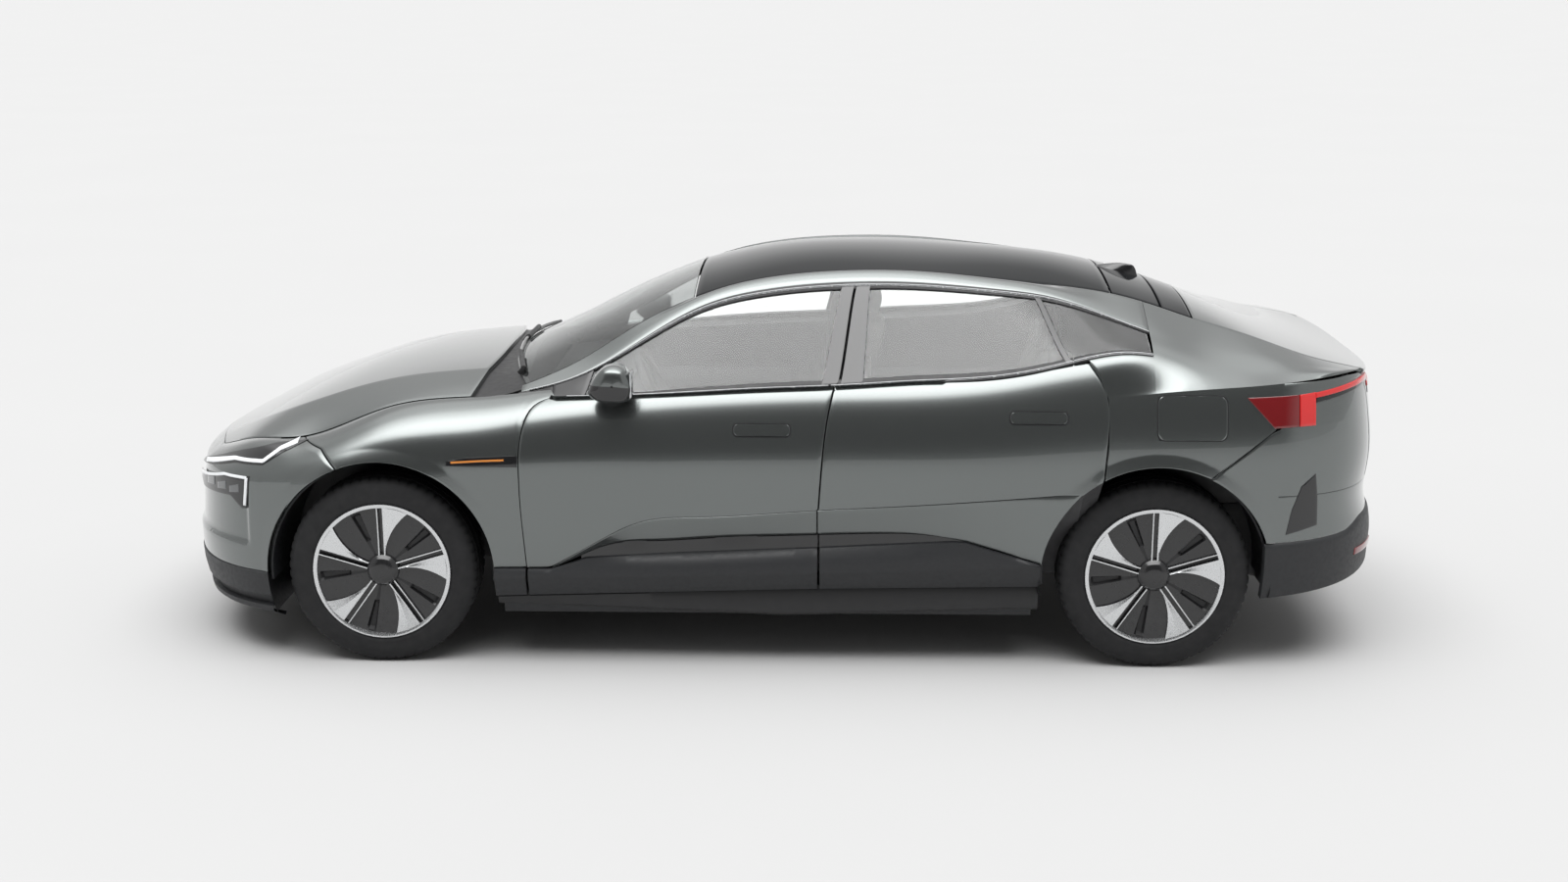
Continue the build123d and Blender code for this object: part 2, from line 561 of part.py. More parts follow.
# Cowl below the windscreen, and the headers under the roof's joints
seated_bonnet = Pos(0, 0, -FIT) * NODES["bonnet"]
seated_deck = Pos(0, 0, -FIT) * deck
cowl = block(FRONT_AXLE + 396, FRONT_AXLE + 506, -HALF + 330, HALF - 330, 950, 1030)
cowl = cowl + lowest(block(FRONT_AXLE + 500, FRONT_AXLE + 540, -HALF + 340, HALF - 340, 950, 1140) - windscreen)
bonnet_hinge = block(FRONT_AXLE + 298, FRONT_AXLE + 328, HALF - 440, HALF - 390, 960, 1160)
bonnet_hinge = lowest(bonnet_hinge - seated_bonnet)
bonnet_hinge = bonnet_hinge + block(FRONT_AXLE + 298, FRONT_AXLE + 400, HALF - 440, HALF - 390, 960, 1012)
cowl = cowl + bonnet_hinge + other(bonnet_hinge)
keep("cowl", cowl)
header = block(FRONT_AXLE + 1216, FRONT_AXLE + 1276, -HALF + 445, HALF - 445, HEIGHT - 200, HEIGHT)
header = lowest(header - roof_glass) - body_side - other(body_side)
rear_header = block(REAR_AXLE + 10, REAR_AXLE + 110, -HALF + 546, HALF - 546, HEIGHT - 270, HEIGHT - 120)
lid_gap = block(REAR_AXLE + 47, REAR_AXLE + 56, -HALF, HALF, HEIGHT - 200, HEIGHT)
rear_header = lowest(rear_header - seated_deck - roof_rear - lid_gap)
rear_header = rear_header - body_side - other(body_side)
keep("roof_headers", Compound([largest(header, 1)[0], largest(rear_header, 1)[0]]))

# Front longitudinals with cross beam
frame_rail = block(NOSE + 60, FIREWALL, 420, 490, 330, 450)
front_frame = frame_rail + other(frame_rail) + block(NOSE + 150, NOSE + 200, -490, 490, 330, 450)
front_frame = largest(front_frame - front_bumper, 1)[0]
keep("front_frame", front_frame)

# Charge socket behind its flap
socket_plate = block(REAR_AXLE - 30, REAR_AXLE + 272, HALF - 190, HALF - 20, 900, 1074) - side_wall
socket_boss = block(REAR_AXLE + 60, REAR_AXLE + 180, HALF - 160, HALF - 20, 950, 1020)
socket_boss = socket_boss & (Pos(0, FLAP_THICK + FIT, 0) * side_wall)
keep("charge_socket", largest(socket_plate, 1)[0] + largest(socket_boss, 1)[0])

# Wheels: tyre, rim with brake disc, and what carries them
RIM_FACE = WHEEL_W + RIM_WIDTH / 2
HUB_FACE = KINGPIN_W + 40
UPRIGHT = 28.0


def turned(profile, x):
    """Ring about a wheel's axis from points of radius and w."""
    face = polygon([at(x, w, AXLE_Z + r) for r, w in profile])
    return revolve(face, axis=Axis((x, 0, AXLE_Z), (0, 1, 0)))


def tyre(x):
    side = TYRE_WIDTH / 2
    wall = RIM_WIDTH / 2
    seat = RIM_RADIUS + FIT
    profile = [(seat, WHEEL_W - wall), (seat + 40, WHEEL_W - side), (TYRE_RADIUS - 40, WHEEL_W - side),
               (TYRE_RADIUS - 8, WHEEL_W - side + 22), (TYRE_RADIUS, WHEEL_W - side + 52),
               (TYRE_RADIUS, WHEEL_W + side - 52), (TYRE_RADIUS - 8, WHEEL_W + side - 22),
               (TYRE_RADIUS - 40, WHEEL_W + side), (seat + 40, WHEEL_W + side), (seat, WHEEL_W + wall)]
    return turned(profile, x)


def spoke_slot(x, turn):
    """Tapered opening between two spokes, and the groove beside it."""
    slot = [(84, -10), (204, -26), (204, 16), (84, 4)]
    groove = [(60, 30), (222, 30), (222, 42), (60, 42)]
    cuts = []
    for outline, w0 in ((slot, WHEEL_W), (groove, RIM_FACE - 22)):
        face = polygon([at(x + t, w0, AXLE_Z - r) for r, t in outline])
        cuts.append(extrude(face, amount=FAR, dir=(0, -1, 0)))
    axis = Axis((x, 0, AXLE_Z), (0, -1, 0))
    return [cut.rotate(axis, turn) for cut in cuts]


def rim(x):
    inner = RIM_RADIUS - RIM_WALL
    low = WHEEL_W - RIM_WIDTH / 2
    barrel = [(inner, low), (RIM_RADIUS, low), (RIM_RADIUS, RIM_FACE), (inner - 6, RIM_FACE - 6), (inner, RIM_FACE - 50)]
    plate = [(0, RIM_FACE - 52), (inner + 4, RIM_FACE - 46), (inner + 4, RIM_FACE - 8), (0, RIM_FACE - 20)]
    hub = [(0, HUB_FACE), (HUB_RADIUS, HUB_FACE), (HUB_RADIUS, RIM_FACE - 40), (0, RIM_FACE - 40)]
    disc = [(0, HUB_FACE), (DISC_RADIUS, HUB_FACE), (DISC_RADIUS, HUB_FACE + DISC_THICK), (0, HUB_FACE + DISC_THICK)]
    whole = turned(plate, x)
    for index in range(SPOKES):
        for cut in spoke_slot(x, index * 360 / SPOKES):
            whole = whole - cut
    return whole + turned(barrel, x) + turned(hub, x) + turned(disc, x)


def upright(x, side):
    """Knuckle with spindle flange and brake caliper; side is +1 where the caliper trails the axle."""
    piece = block(x - 45, x + 45, KINGPIN_W - UPRIGHT, KINGPIN_W + UPRIGHT, AXLE_Z - KINGPIN_REACH, AXLE_Z + KINGPIN_REACH)
    piece = piece + round_bar(x, AXLE_Z, HUB_RADIUS - 8, KINGPIN_W, HUB_FACE - FIT)
    near = x + side * 92
    far = x + side * 206
    caliper = block(min(near, far), max(near, far), HUB_FACE - 30, HUB_FACE + DISC_THICK + 30, AXLE_Z - 58, AXLE_Z + 58)
    caliper = caliper - round_bar(x, AXLE_Z, DISC_RADIUS + 5, HUB_FACE - 5, HUB_FACE + DISC_THICK + 5)
    arm = block(min(x, near + side * 20), max(x, near + side * 20), HUB_FACE - 30, HUB_FACE - 8, AXLE_Z - 40, AXLE_Z + 40)
    return piece + arm + caliper


for end, axle in (("front", FRONT_AXLE), ("rear", REAR_AXLE)):
    keep_pair("tyre_" + end, tyre(axle))
    keep_pair("rim_" + end, rim(axle))
keep_pair("knuckle_front", upright(FRONT_AXLE, 1))

ARM = 28.0
lower_arm_z = AXLE_Z - KINGPIN_REACH - FIT - ARM
upper_arm_z = AXLE_Z + KINGPIN_REACH + FIT


def carrier(x):
    """Subframe rail with the arms of one side, out to the kingpin."""
    rail = block(x - 260, x + 260, 300, 370, lower_arm_z, lower_arm_z + 70)
    lower = block(x - ARM, x + ARM, 360, KINGPIN_W + UPRIGHT, lower_arm_z, lower_arm_z + ARM)
    upper = block(x - ARM, x + ARM, 360, KINGPIN_W + UPRIGHT, upper_arm_z, upper_arm_z + ARM)
    tower = block(x - ARM, x + ARM, 340, 390, lower_arm_z, upper_arm_z + ARM)
    return rail + lower + upper + tower


def subframe(x):
    half = carrier(x)
    bars = [block(x + place, x + place + 60, -310, 310, lower_arm_z, lower_arm_z + 70) for place in (-260, 200)]
    return half + other(half) + bars[0] + bars[1]


front_axle = subframe(FRONT_AXLE)
rail_mount = block(FRONT_AXLE - ARM, FRONT_AXLE + ARM, 380, 420, 330, 450)
front_axle = front_axle + rail_mount + other(rail_mount)
keep("front_axle", front_axle)
rear_upright = upright(REAR_AXLE, -1)
rear_axle = subframe(REAR_AXLE)
link = block(REAR_AXLE - 40, REAR_AXLE + 40, KINGPIN_W - UPRIGHT, KINGPIN_W + UPRIGHT, lower_arm_z + 4, upper_arm_z + ARM - 4)
rear_axle = rear_axle + rear_upright + link + other(rear_upright + link)
rear_mount = block(REAR_AXLE - 40, REAR_AXLE + 40, 340, 390, upper_arm_z, BOOT_Z)
keep("rear_axle", rear_axle + rear_mount + other(rear_mount))
MOTOR_HALF = 250.0
motors = []
for axle in (FRONT_AXLE, REAR_AXLE):
    motors.append(block(axle - 230, axle + 230, -MOTOR_HALF, MOTOR_HALF, lower_arm_z + 70 + FIT, lower_arm_z + 270))
keep("drive_motors", Compound([motor.solids()[0] for motor in motors]))

# Wheel liners, a thin arch over each wheel
liners = []
for axle, inner in ((FRONT_AXLE, 500.0), (REAR_AXLE, BOOT_HALF + FIT)):
    ring = round_bar(axle, AXLE_Z, ARCH_RADIUS - FIT, inner, HALF - 70)
    ring = ring - round_bar(axle, AXLE_Z, ARCH_RADIUS - 8, inner - 10, HALF)
    ring = ring & block(axle - 500, axle + 500, 0, FAR, 330, FAR)
    liners.append(largest(ring, 1)[0])
keep("wheel_liners", Compound(liners + [other(liner) for liner in liners]))

# Cabin: seats, rear bench, fascia and steering wheel
SEAT_IN = 130.0
SEAT_OUT = 620.0
seat_profile = [(MIDDLE - 560, FLOOR_TOP), (MIDDLE + 10, FLOOR_TOP), (MIDDLE + 60, 560), (MIDDLE + 200, 1120),
                (MIDDLE + 225, 1290), (MIDDLE + 150, 1300), (MIDDLE + 90, 1130), (MIDDLE - 80, 600),
                (MIDDLE - 540, 580), (MIDDLE - 580, 520)]
seat = prism(seat_profile, SEAT_IN, SEAT_OUT)
keep("front_seats", Compound([seat.solids()[0], other(seat).solids()[0]]))
bench_profile = [(HEEL - 400, FLOOR_TOP), (HEEL, FLOOR_TOP), (HEEL, BOOT_Z + FLOOR_THICK), (HEEL + 60, BOOT_Z + FLOOR_THICK),
                 (HEEL + 230, 1130), (HEEL + 130, 1150), (HEEL - 60, 610), (HEEL - 420, 600), (HEEL - 440, 540)]
keep("rear_bench", prism(bench_profile, -BOOT_HALF + 10, BOOT_HALF - 10))
fascia_profile = [(FIREWALL + FLOOR_THICK, 800), (FRONT_AXLE + 720, 740), (FRONT_AXLE + 900, 770), (FRONT_AXLE + 950, 870),
                  (FRONT_AXLE + 900, 960), (FRONT_AXLE + 720, 1000), (FRONT_AXLE + 560, 985),
                  (FRONT_AXLE + 545, 945), (FIREWALL + FLOOR_THICK, 945)]
fascia = prism(fascia_profile, -SILL_IN + FIT, SILL_IN - FIT)
keep("fascia", fascia)
WHEEL_Y = -375.0
wheel_plane = Plane((FRONT_AXLE + 1040, WHEEL_Y, 960), z_dir=(0.9, 0, 0.43))
grip = wheel_plane * Torus(180, 16)
spoke = wheel_plane * Box(330, 46, 18)
column = Plane((FRONT_AXLE + 1040, WHEEL_Y, 960), z_dir=(-0.9, 0, -0.43)) * Cylinder(32, 220, align=(Align.CENTER, Align.CENTER, Align.MIN))
keep("steering_wheel", largest((grip + spoke + column) - fascia, 1)[0])

# Door mirrors
mirror_x = FRONT_AXLE + 900
housing = loft([
    polygon([at(mirror_x - 110, HALF - 60, 1075), at(mirror_x + 80, HALF - 60, 1075),
             at(mirror_x + 80, HALF - 60, 1185), at(mirror_x - 40, HALF - 60, 1190)]),
    polygon([at(mirror_x - 80, HALF + 62, 1090), at(mirror_x + 78, HALF + 62, 1090),
             at(mirror_x + 78, HALF + 62, 1175), at(mirror_x - 10, HALF + 62, 1175)]),
], ruled=True)
stalk = block(mirror_x - 70, mirror_x + 50, HALF - 150, HALF - 20, 1000, 1090)
mirror_left = housing + stalk - front_door - NODES["glass_front_left"]
keep_pair("mirror", largest(mirror_left, 1)[0])

os.makedirs("parts", exist_ok=True)
for name, shape in NODES.items():
    export_step(shape, "parts/" + name + ".step")
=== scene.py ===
"""Coupe sport utility vehicle: the finished looks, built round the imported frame, in metres."""
import math

import bpy
import numpy as np
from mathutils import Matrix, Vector


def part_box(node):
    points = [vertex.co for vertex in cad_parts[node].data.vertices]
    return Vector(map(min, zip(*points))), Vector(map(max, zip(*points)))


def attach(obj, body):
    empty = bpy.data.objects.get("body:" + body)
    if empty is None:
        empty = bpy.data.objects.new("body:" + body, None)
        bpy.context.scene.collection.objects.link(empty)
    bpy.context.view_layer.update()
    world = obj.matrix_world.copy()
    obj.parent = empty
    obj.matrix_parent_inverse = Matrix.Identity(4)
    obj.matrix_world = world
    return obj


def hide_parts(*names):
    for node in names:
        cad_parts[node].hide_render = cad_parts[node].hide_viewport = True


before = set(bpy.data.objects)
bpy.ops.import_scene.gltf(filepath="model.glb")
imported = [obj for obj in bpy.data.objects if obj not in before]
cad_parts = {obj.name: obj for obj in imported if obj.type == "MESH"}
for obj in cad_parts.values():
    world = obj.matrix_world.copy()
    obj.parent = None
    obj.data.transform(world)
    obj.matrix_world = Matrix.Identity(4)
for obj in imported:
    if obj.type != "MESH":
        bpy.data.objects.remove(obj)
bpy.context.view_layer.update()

# Driving sizes, read from the frame
FRONT_LOW, FRONT_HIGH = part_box("tyre_front_left")
REAR_LOW, REAR_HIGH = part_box("tyre_rear_left")
FRONT_AXLE = (FRONT_LOW.x + FRONT_HIGH.x) / 2
REAR_AXLE = (REAR_LOW.x + REAR_HIGH.x) / 2
AXLE_Z = (FRONT_HIGH.z - FRONT_LOW.z) / 2
ARCH_RADIUS = 0.440
# Ways that surfaces face, and the two sides: name, mirrored, last letter of the side's bodies
OUT = (0, -1, 0.15)
UP = (0, 0, 1)
SIDES = (("left", False, "l"), ("right", True, "r"))
# Width of a shut line, radius of a panel's hem, and how far its edge returns
GAP = 0.005
HEM = 0.0025
HEM_DEPTH = 0.016

# Flank of the body: station, upper edge half width and height, widest half width and height
FLANK = [
    (-2.40, 0.92, 0.735, 0.985, 0.66),
    (-2.245, 0.86, 0.776, 0.985, 0.68),
    (-2.09, 0.82, 0.834, 0.985, 0.70),
    (-1.844, 0.772, 0.866, 0.985, 0.72),
    (-1.516, 0.76, 0.985, 0.990, 0.755),
    (-1.134, 0.775, 1.034, 0.992, 0.765),
    (-0.90, 0.797, 1.062, 0.995, 0.765),
    (-0.50, 0.80, 1.105, 0.998, 0.757),
    (0.20, 0.79, 1.150, 1.001, 0.752),
    (0.90, 0.775, 1.200, 1.003, 0.755),
    (1.30, 0.763, 1.270, 1.003, 0.765),
    (1.60, 0.76, 1.280, 1.003, 0.775),
    (1.90, 0.76, 1.290, 1.000, 0.79),
    (2.15, 0.76, 1.300, 0.990, 0.80),
    (2.42, 0.76, 1.300, 0.980, 0.80),
]
# Side above the belt: station, roof edge (half width, height), glass top, glass foot
UPPER = [
    (-1.02, 0.728, 1.055, 0.765, 1.042, 0.80, 1.033),
    (-0.75, 0.665, 1.167, 0.752, 1.118, 0.862, 1.046),
    (-0.554, 0.632, 1.287, 0.715, 1.225, 0.884, 1.054),
    (-0.288, 0.585, 1.407, 0.662, 1.372, 0.893, 1.067),
    (-0.06, 0.560, 1.464, 0.640, 1.432, 0.893, 1.079),
    (0.273, 0.543, 1.494, 0.622, 1.463, 0.892, 1.093),
    (0.541, 0.538, 1.494, 0.619, 1.463, 0.890, 1.110),
    (0.874, 0.532, 1.464, 0.632, 1.439, 0.888, 1.133),
    (1.075, 0.526, 1.444, 0.648, 1.413, 0.888, 1.172),
    (1.321, 0.510, 1.409, 0.688, 1.337, 0.885, 1.226),
    (1.516, 0.490, 1.353, 0.712, 1.270, 0.850, 1.205),
    (1.651, 0.478, 1.306, 0.690, 1.232, 0.835, 1.172),
    (1.90, 0.545, 1.236, 0.715, 1.190, 0.835, 1.150),
    (2.10, 0.640, 1.178, 0.755, 1.165, 0.845, 1.155),
    (2.25, 0.672, 1.148, 0.745, 1.146, 0.80, 1.145),
    (2.40, 0.690, 1.116, 0.735, 1.120, 0.78, 1.124),
]
# Crown of the roof and deck on the centre line, and of the windscreen and bonnet: station, height
ROOF_CROWN = [(-0.374, 1.434), (-0.074, 1.506), (0.333, 1.537), (0.774, 1.521), (1.18, 1.480),
              (1.40, 1.430), (1.623, 1.362), (1.967, 1.232), (2.207, 1.158), (2.36, 1.118)]
SCREEN_CROWN = [(-1.09, 1.108), (-0.817, 1.235), (-0.612, 1.338), (-0.374, 1.434)]
BONNET_CROWN = [(-2.345, 0.757), (-2.182, 0.838), (-1.966, 0.940), (-1.717, 1.031), (-1.470, 1.080),
                (-1.295, 1.099), (-1.060, 1.118)]
# Rear shoulder crease: station, height
CREASE = [(1.18, 1.062), (1.281, 1.072), (1.542, 1.097), (1.806, 1.116), (2.031, 1.134), (2.25, 1.142),
          (2.40, 1.126)]
# Shut lines, as station and height
FENDER_REAR = [(-0.841, 1.050), (-0.928, 1.014), (-0.964, 0.937), (-0.976, 0.783), (-0.972, 0.628),
               (-0.961, 0.471), (-0.950, 0.300)]
MIDDLE_LINE = [(0.238, 1.110), (0.216, 1.021), (0.187, 0.791), (0.173, 0.559), (0.177, 0.422), (0.204, 0.300)]
REAR_LINE = [(1.204, 1.208), (1.250, 1.145), (1.274, 1.080), (1.278, 0.909), (1.265, 0.756)]
# Lower edge of the paint, upper edge of the scoop, and how deep the scoop sits: station, height
SCOOP_TOP = [(-0.859, 0.396), (-0.70, 0.487), (-0.529, 0.576), (-0.30, 0.603), (0.173, 0.634), (0.421, 0.648),
             (1.131, 0.702)]
PAINT_LOW = [(-0.859, 0.392), (-0.745, 0.440), (-0.655, 0.480), (-0.45, 0.500), (-0.237, 0.512),
             (0.10, 0.526),
             (0.422, 0.536), (0.573, 0.533), (0.743, 0.505), (1.060, 0.412)]
SCOOP_DEPTH = [(-0.859, 0.0), (-0.70, 0.020), (-0.50, 0.038), (0.0, 0.044), (0.6, 0.038), (1.06, 0.010)]
CLADDING_TOP = 0.392
TUCK = 0.150
LIP_PROUD = 0.007
LIP_WIDTH = 0.050
# Plan of the two ends: where the flank starts to turn in, how square the corner is, tip by height
NOSE_FLANK = -1.62
NOSE_SQUARE = 2.5
NOSE_TIP = [(0.12, -2.355), (0.24, -2.400), (0.33, -2.414), (0.45, -2.419), (0.55, -2.412), (0.65, -2.405),
            (0.70, -2.395), (0.735, -2.376), (0.757, -2.345), (0.90, -2.30)]
TAIL_FLANK = 1.70
TAIL_SQUARE = 3.2
TAIL_TIP = [(0.15, 2.30), (0.24, 2.395), (0.39, 2.421), (0.52, 2.415), (0.64, 2.392), (0.74, 2.402),
            (0.83, 2.408),
            (0.95, 2.398), (1.055, 2.385), (1.12, 2.375), (1.30, 2.36)]
# Least length over which an end turns in
SHORT_END = 0.05


def spline(table):
    """Smooth curves through the rows of a table: the first column against the others."""
    rows = np.array(table, float)
    x, y = rows[:, 0], rows[:, 1:]
    h = np.diff(x)
    last = len(x) - 1
    a = np.eye(len(x))
    r = np.zeros_like(y)
    for i in range(1, last):
        a[i, i - 1:i + 2] = h[i - 1], 2 * (h[i - 1] + h[i]), h[i]
        r[i] = 6 * ((y[i + 1] - y[i]) / h[i] - (y[i] - y[i - 1]) / h[i - 1])
    m = np.linalg.solve(a, r)

    def at(q):
        q = np.asarray(q, float)
        i = np.clip(np.searchsorted(x, q) - 1, 0, last - 1)
        k = h[i][..., None]
        t = (q - x[i])[..., None]
        s = (x[i + 1] - q)[..., None]
        bend = (m[i] * s ** 3 + m[i + 1] * t ** 3) / (6 * k)
        return bend + (y[i] / k - m[i] * k / 6) * s + (y[i + 1] / k - m[i + 1] * k / 6) * t

    return at


def height(table):
    """A one-column table as a plain function of its first column."""
    curve = spline(table)
    return lambda q: curve(q)[..., 0]


flank = spline(FLANK)
upper = spline(UPPER)
roof_crown = height(ROOF_CROWN)
screen_crown = height(SCREEN_CROWN)
bonnet_crown = height(BONNET_CROWN)
crease = height(CREASE)
nose_tip = height(NOSE_TIP)
tail_tip = height(TAIL_TIP)
scoop_top = height(SCOOP_TOP)
paint_low = height(PAINT_LOW)
scoop_depth = height(SCOOP_DEPTH)


def plan(x, z):
    """How far the ends have turned in at a station: 1 along the flank, 0 at the tip."""
    nose = np.clip((NOSE_FLANK - x) / np.maximum(NOSE_FLANK - nose_tip(z), SHORT_END), 0, 1)
    tail = np.clip((x - TAIL_FLANK) / np.maximum(tail_tip(z) - TAIL_FLANK, SHORT_END), 0, 1)
    front = (1 - nose ** NOSE_SQUARE) ** (1 / NOSE_SQUARE)
    back = (1 - tail ** TAIL_SQUARE) ** (1 / TAIL_SQUARE)
    return front * back


def flare(x, z):
    """How far the lip round a wheel arch stands proud of the flank."""
    near = np.where(x < 0, FRONT_AXLE, REAR_AXLE)
    reach = np.hypot(x - near, z - AXLE_Z) - ARCH_RADIUS
    return LIP_PROUD * np.clip(1 - reach / LIP_WIDTH, 0, 1)


def flank_point(x, u):
    """Point of the left flank: u is 1 at the upper edge and 0 at the widest line, and metres below it."""
    x = np.asarray(x, float)
    we, ze, wd, zd = np.moveaxis(flank(x), -1, 0)
    turn = np.clip(u, 0, 1) * math.pi / 2
    low = np.minimum(u, 0)
    z = zd + (ze - zd) * np.sin(turn) + low
    w = we + (wd - we) * np.cos(turn) - TUCK * low ** 2
    return np.stack([x, -w * plan(x, z) - flare(x, z), z], -1)


def flank_width(x, z):
    """Half width of the flank at a height, before the ends turn in."""
    we, ze, wd, zd = np.moveaxis(flank(np.asarray(x, float)), -1, 0)
    share = np.clip((z - zd) / (ze - zd), 0, 1)
    low = np.minimum(z - zd, 0)
    return np.where(z > zd, we + (wd - we) * np.sqrt(1 - share ** 2), wd - TUCK * low ** 2)


def flank_level(x, z):
    """The u of flank_point at a height."""
    _, ze, _, zd = np.moveaxis(flank(np.asarray(x, float)), -1, 0)
    share = np.clip((z - zd) / (ze - zd), 0, 1)
    return np.where(z > zd, np.arcsin(share) * 2 / math.pi, z - zd)


def flank_at(x, z):
    return flank_point(x, flank_level(x, z))


def upper_point(x, s):
    """Point of the side above the belt: s runs 0 roof edge, 1 glass top, 2 glass foot, 3 shoulder crease."""
    x = np.asarray(x, float)
    row = np.moveaxis(upper(x), -1, 0)
    low = flank_at(x, crease(np.maximum(x, CREASE[0][0])))
    out = -low[..., 1]
    inside = zip(row[::2], (0.03, 0.02, 0.01))
    w = np.stack([*(np.minimum(half, out - step) for half, step in inside), out], -1)
    z = np.stack([*row[1::2], low[..., 2]], -1)
    k = np.clip(np.floor(s).astype(int), 0, 2)
    t = s - k

    def blend(v):
        before, a, b, after = (np.take_along_axis(v, np.clip(k + step, 0, 3)[..., None], -1)[..., 0]
                               for step in (-1, 0, 1, 2))
        h = t * t * (3 - 2 * t)
        return a + (b - a) * h + (b - before) / 2 * t * (1 - t) ** 2 - (after - a) / 2 * t ** 2 * (1 - t)

    return np.stack([x, -blend(w), blend(z)], -1)


def over(point, a, b):
    """A grid of points over two rows of values."""
    return point(*np.meshgrid(a, b, indexing="ij"))


def between(a, b, t):
    return a * (1 - t) + b * t


def run_of(points):
    """The length along a line, at each of its points."""
    return np.concatenate([[0], np.cumsum(np.linalg.norm(np.diff(points, axis=0), axis=1))])


def resample(points, count):
    """Evenly spaced points along a line."""
    points = np.asarray(points, float)
    run = run_of(points)
    want = np.linspace(0, run[-1], count)
    return np.stack([np.interp(want, run, column) for column in points.T], -1)


def smooth(points, count):
    """Evenly spaced points on a smooth line through a few."""
    run = run_of(points)
    curve = spline(np.column_stack([run, points]))
    return resample(curve(np.linspace(0, run[-1], 200)), count)


def coons(bottom, top, left, right):
    """Grid between four edges: bottom and top run the same way, left and right from bottom to top."""
    s = np.linspace(0, 1, len(bottom))[:, None, None]
    t = np.linspace(0, 1, len(left))[None, :, None]
    edges = (1 - t) * bottom[:, None] + t * top[:, None] + (1 - s) * left[None] + s * right[None]
    corners = ((1 - s) * (1 - t) * bottom[0] + s * (1 - t) * bottom[-1]
               + (1 - s) * t * top[0] + s * t * top[-1])
    return edges - corners


def unit(v):
    return v / np.maximum(np.linalg.norm(v, axis=-1, keepdims=True), 1e-9)


def facing(normal, hint):
    """Above 0 where the normals mostly look the hinted way."""
    return (normal * np.asarray(hint, float)).sum(-1).mean()


def grid_normals(grid, hint=None):
    normal = unit(np.cross(np.gradient(grid, axis=0), np.gradient(grid, axis=1)))
    return normal if hint is None or facing(normal, hint) >= 0 else -normal


def rim_of(grid):
    """The outer loop of a grid."""
    return np.concatenate([grid[:, 0], grid[-1, 1:], grid[-2::-1, -1], grid[0, -2:0:-1]])


def cells(n):
    """The quads of a grid of point numbers."""
    return np.stack([n[:-1, :-1], n[1:, :-1], n[1:, 1:], n[:-1, 1:]], -1).reshape(-1, 4)


def round_axis(centre, turn, radius, across):
    """Points round a wheel axis, by angle, radius and distance along the axis."""
    x, y, z = centre
    points = np.broadcast_arrays(x + radius * np.cos(turn), y + across, z + radius * np.sin(turn))
    return np.stack(points, -1)


def hemmed(grid, hint, inset=GAP / 2, depth=HEM_DEPTH, sides="abcd"):
    """The grid pulled back for its shut lines, with a rounded hem and a returned edge on the named sides."""
    normal = grid_normals(grid, hint)
    along_i = unit(np.gradient(grid, axis=0))
    along_j = unit(np.gradient(grid, axis=1))
    reach = [HEM, HEM, 0.7 * HEM]
    fall = [depth, HEM, 0.3 * HEM]

    def steps(count, first, last):
        """Source row, move along and drop of each row, and the pull of the grid's own rows."""
        index = [0] * 3 * first + list(range(count)) + [count - 1] * 3 * last
        along = [-a for a in reach] * first + [0.0] * count + reach[::-1] * last
        drop = fall * first + [0.0] * count + fall[::-1] * last
        pull = np.zeros(count)
        pull[0] = (inset + HEM) * first
        pull[-1] = -(inset + HEM) * last
        return np.array(index), np.array(along), np.array(drop), pull

    ii, ai, di, pull_i = steps(grid.shape[0], "a" in sides, "b" in sides)
    jj, aj, dj, pull_j = steps(grid.shape[1], "c" in sides, "d" in sides)
    grid = grid + along_i * pull_i[:, None, None] + along_j * pull_j[None, :, None]
    pick = np.ix_(ii, jj)
    drop = np.maximum(di[:, None], dj[None, :])[..., None]
    moved = along_i[pick] * ai[:, None, None] + along_j[pick] * aj[None, :, None]
    return grid[pick] + moved - normal[pick] * drop


def raised(grid, hint, lift):
    """The grid moved off its surface."""
    return grid + grid_normals(grid, hint) * lift


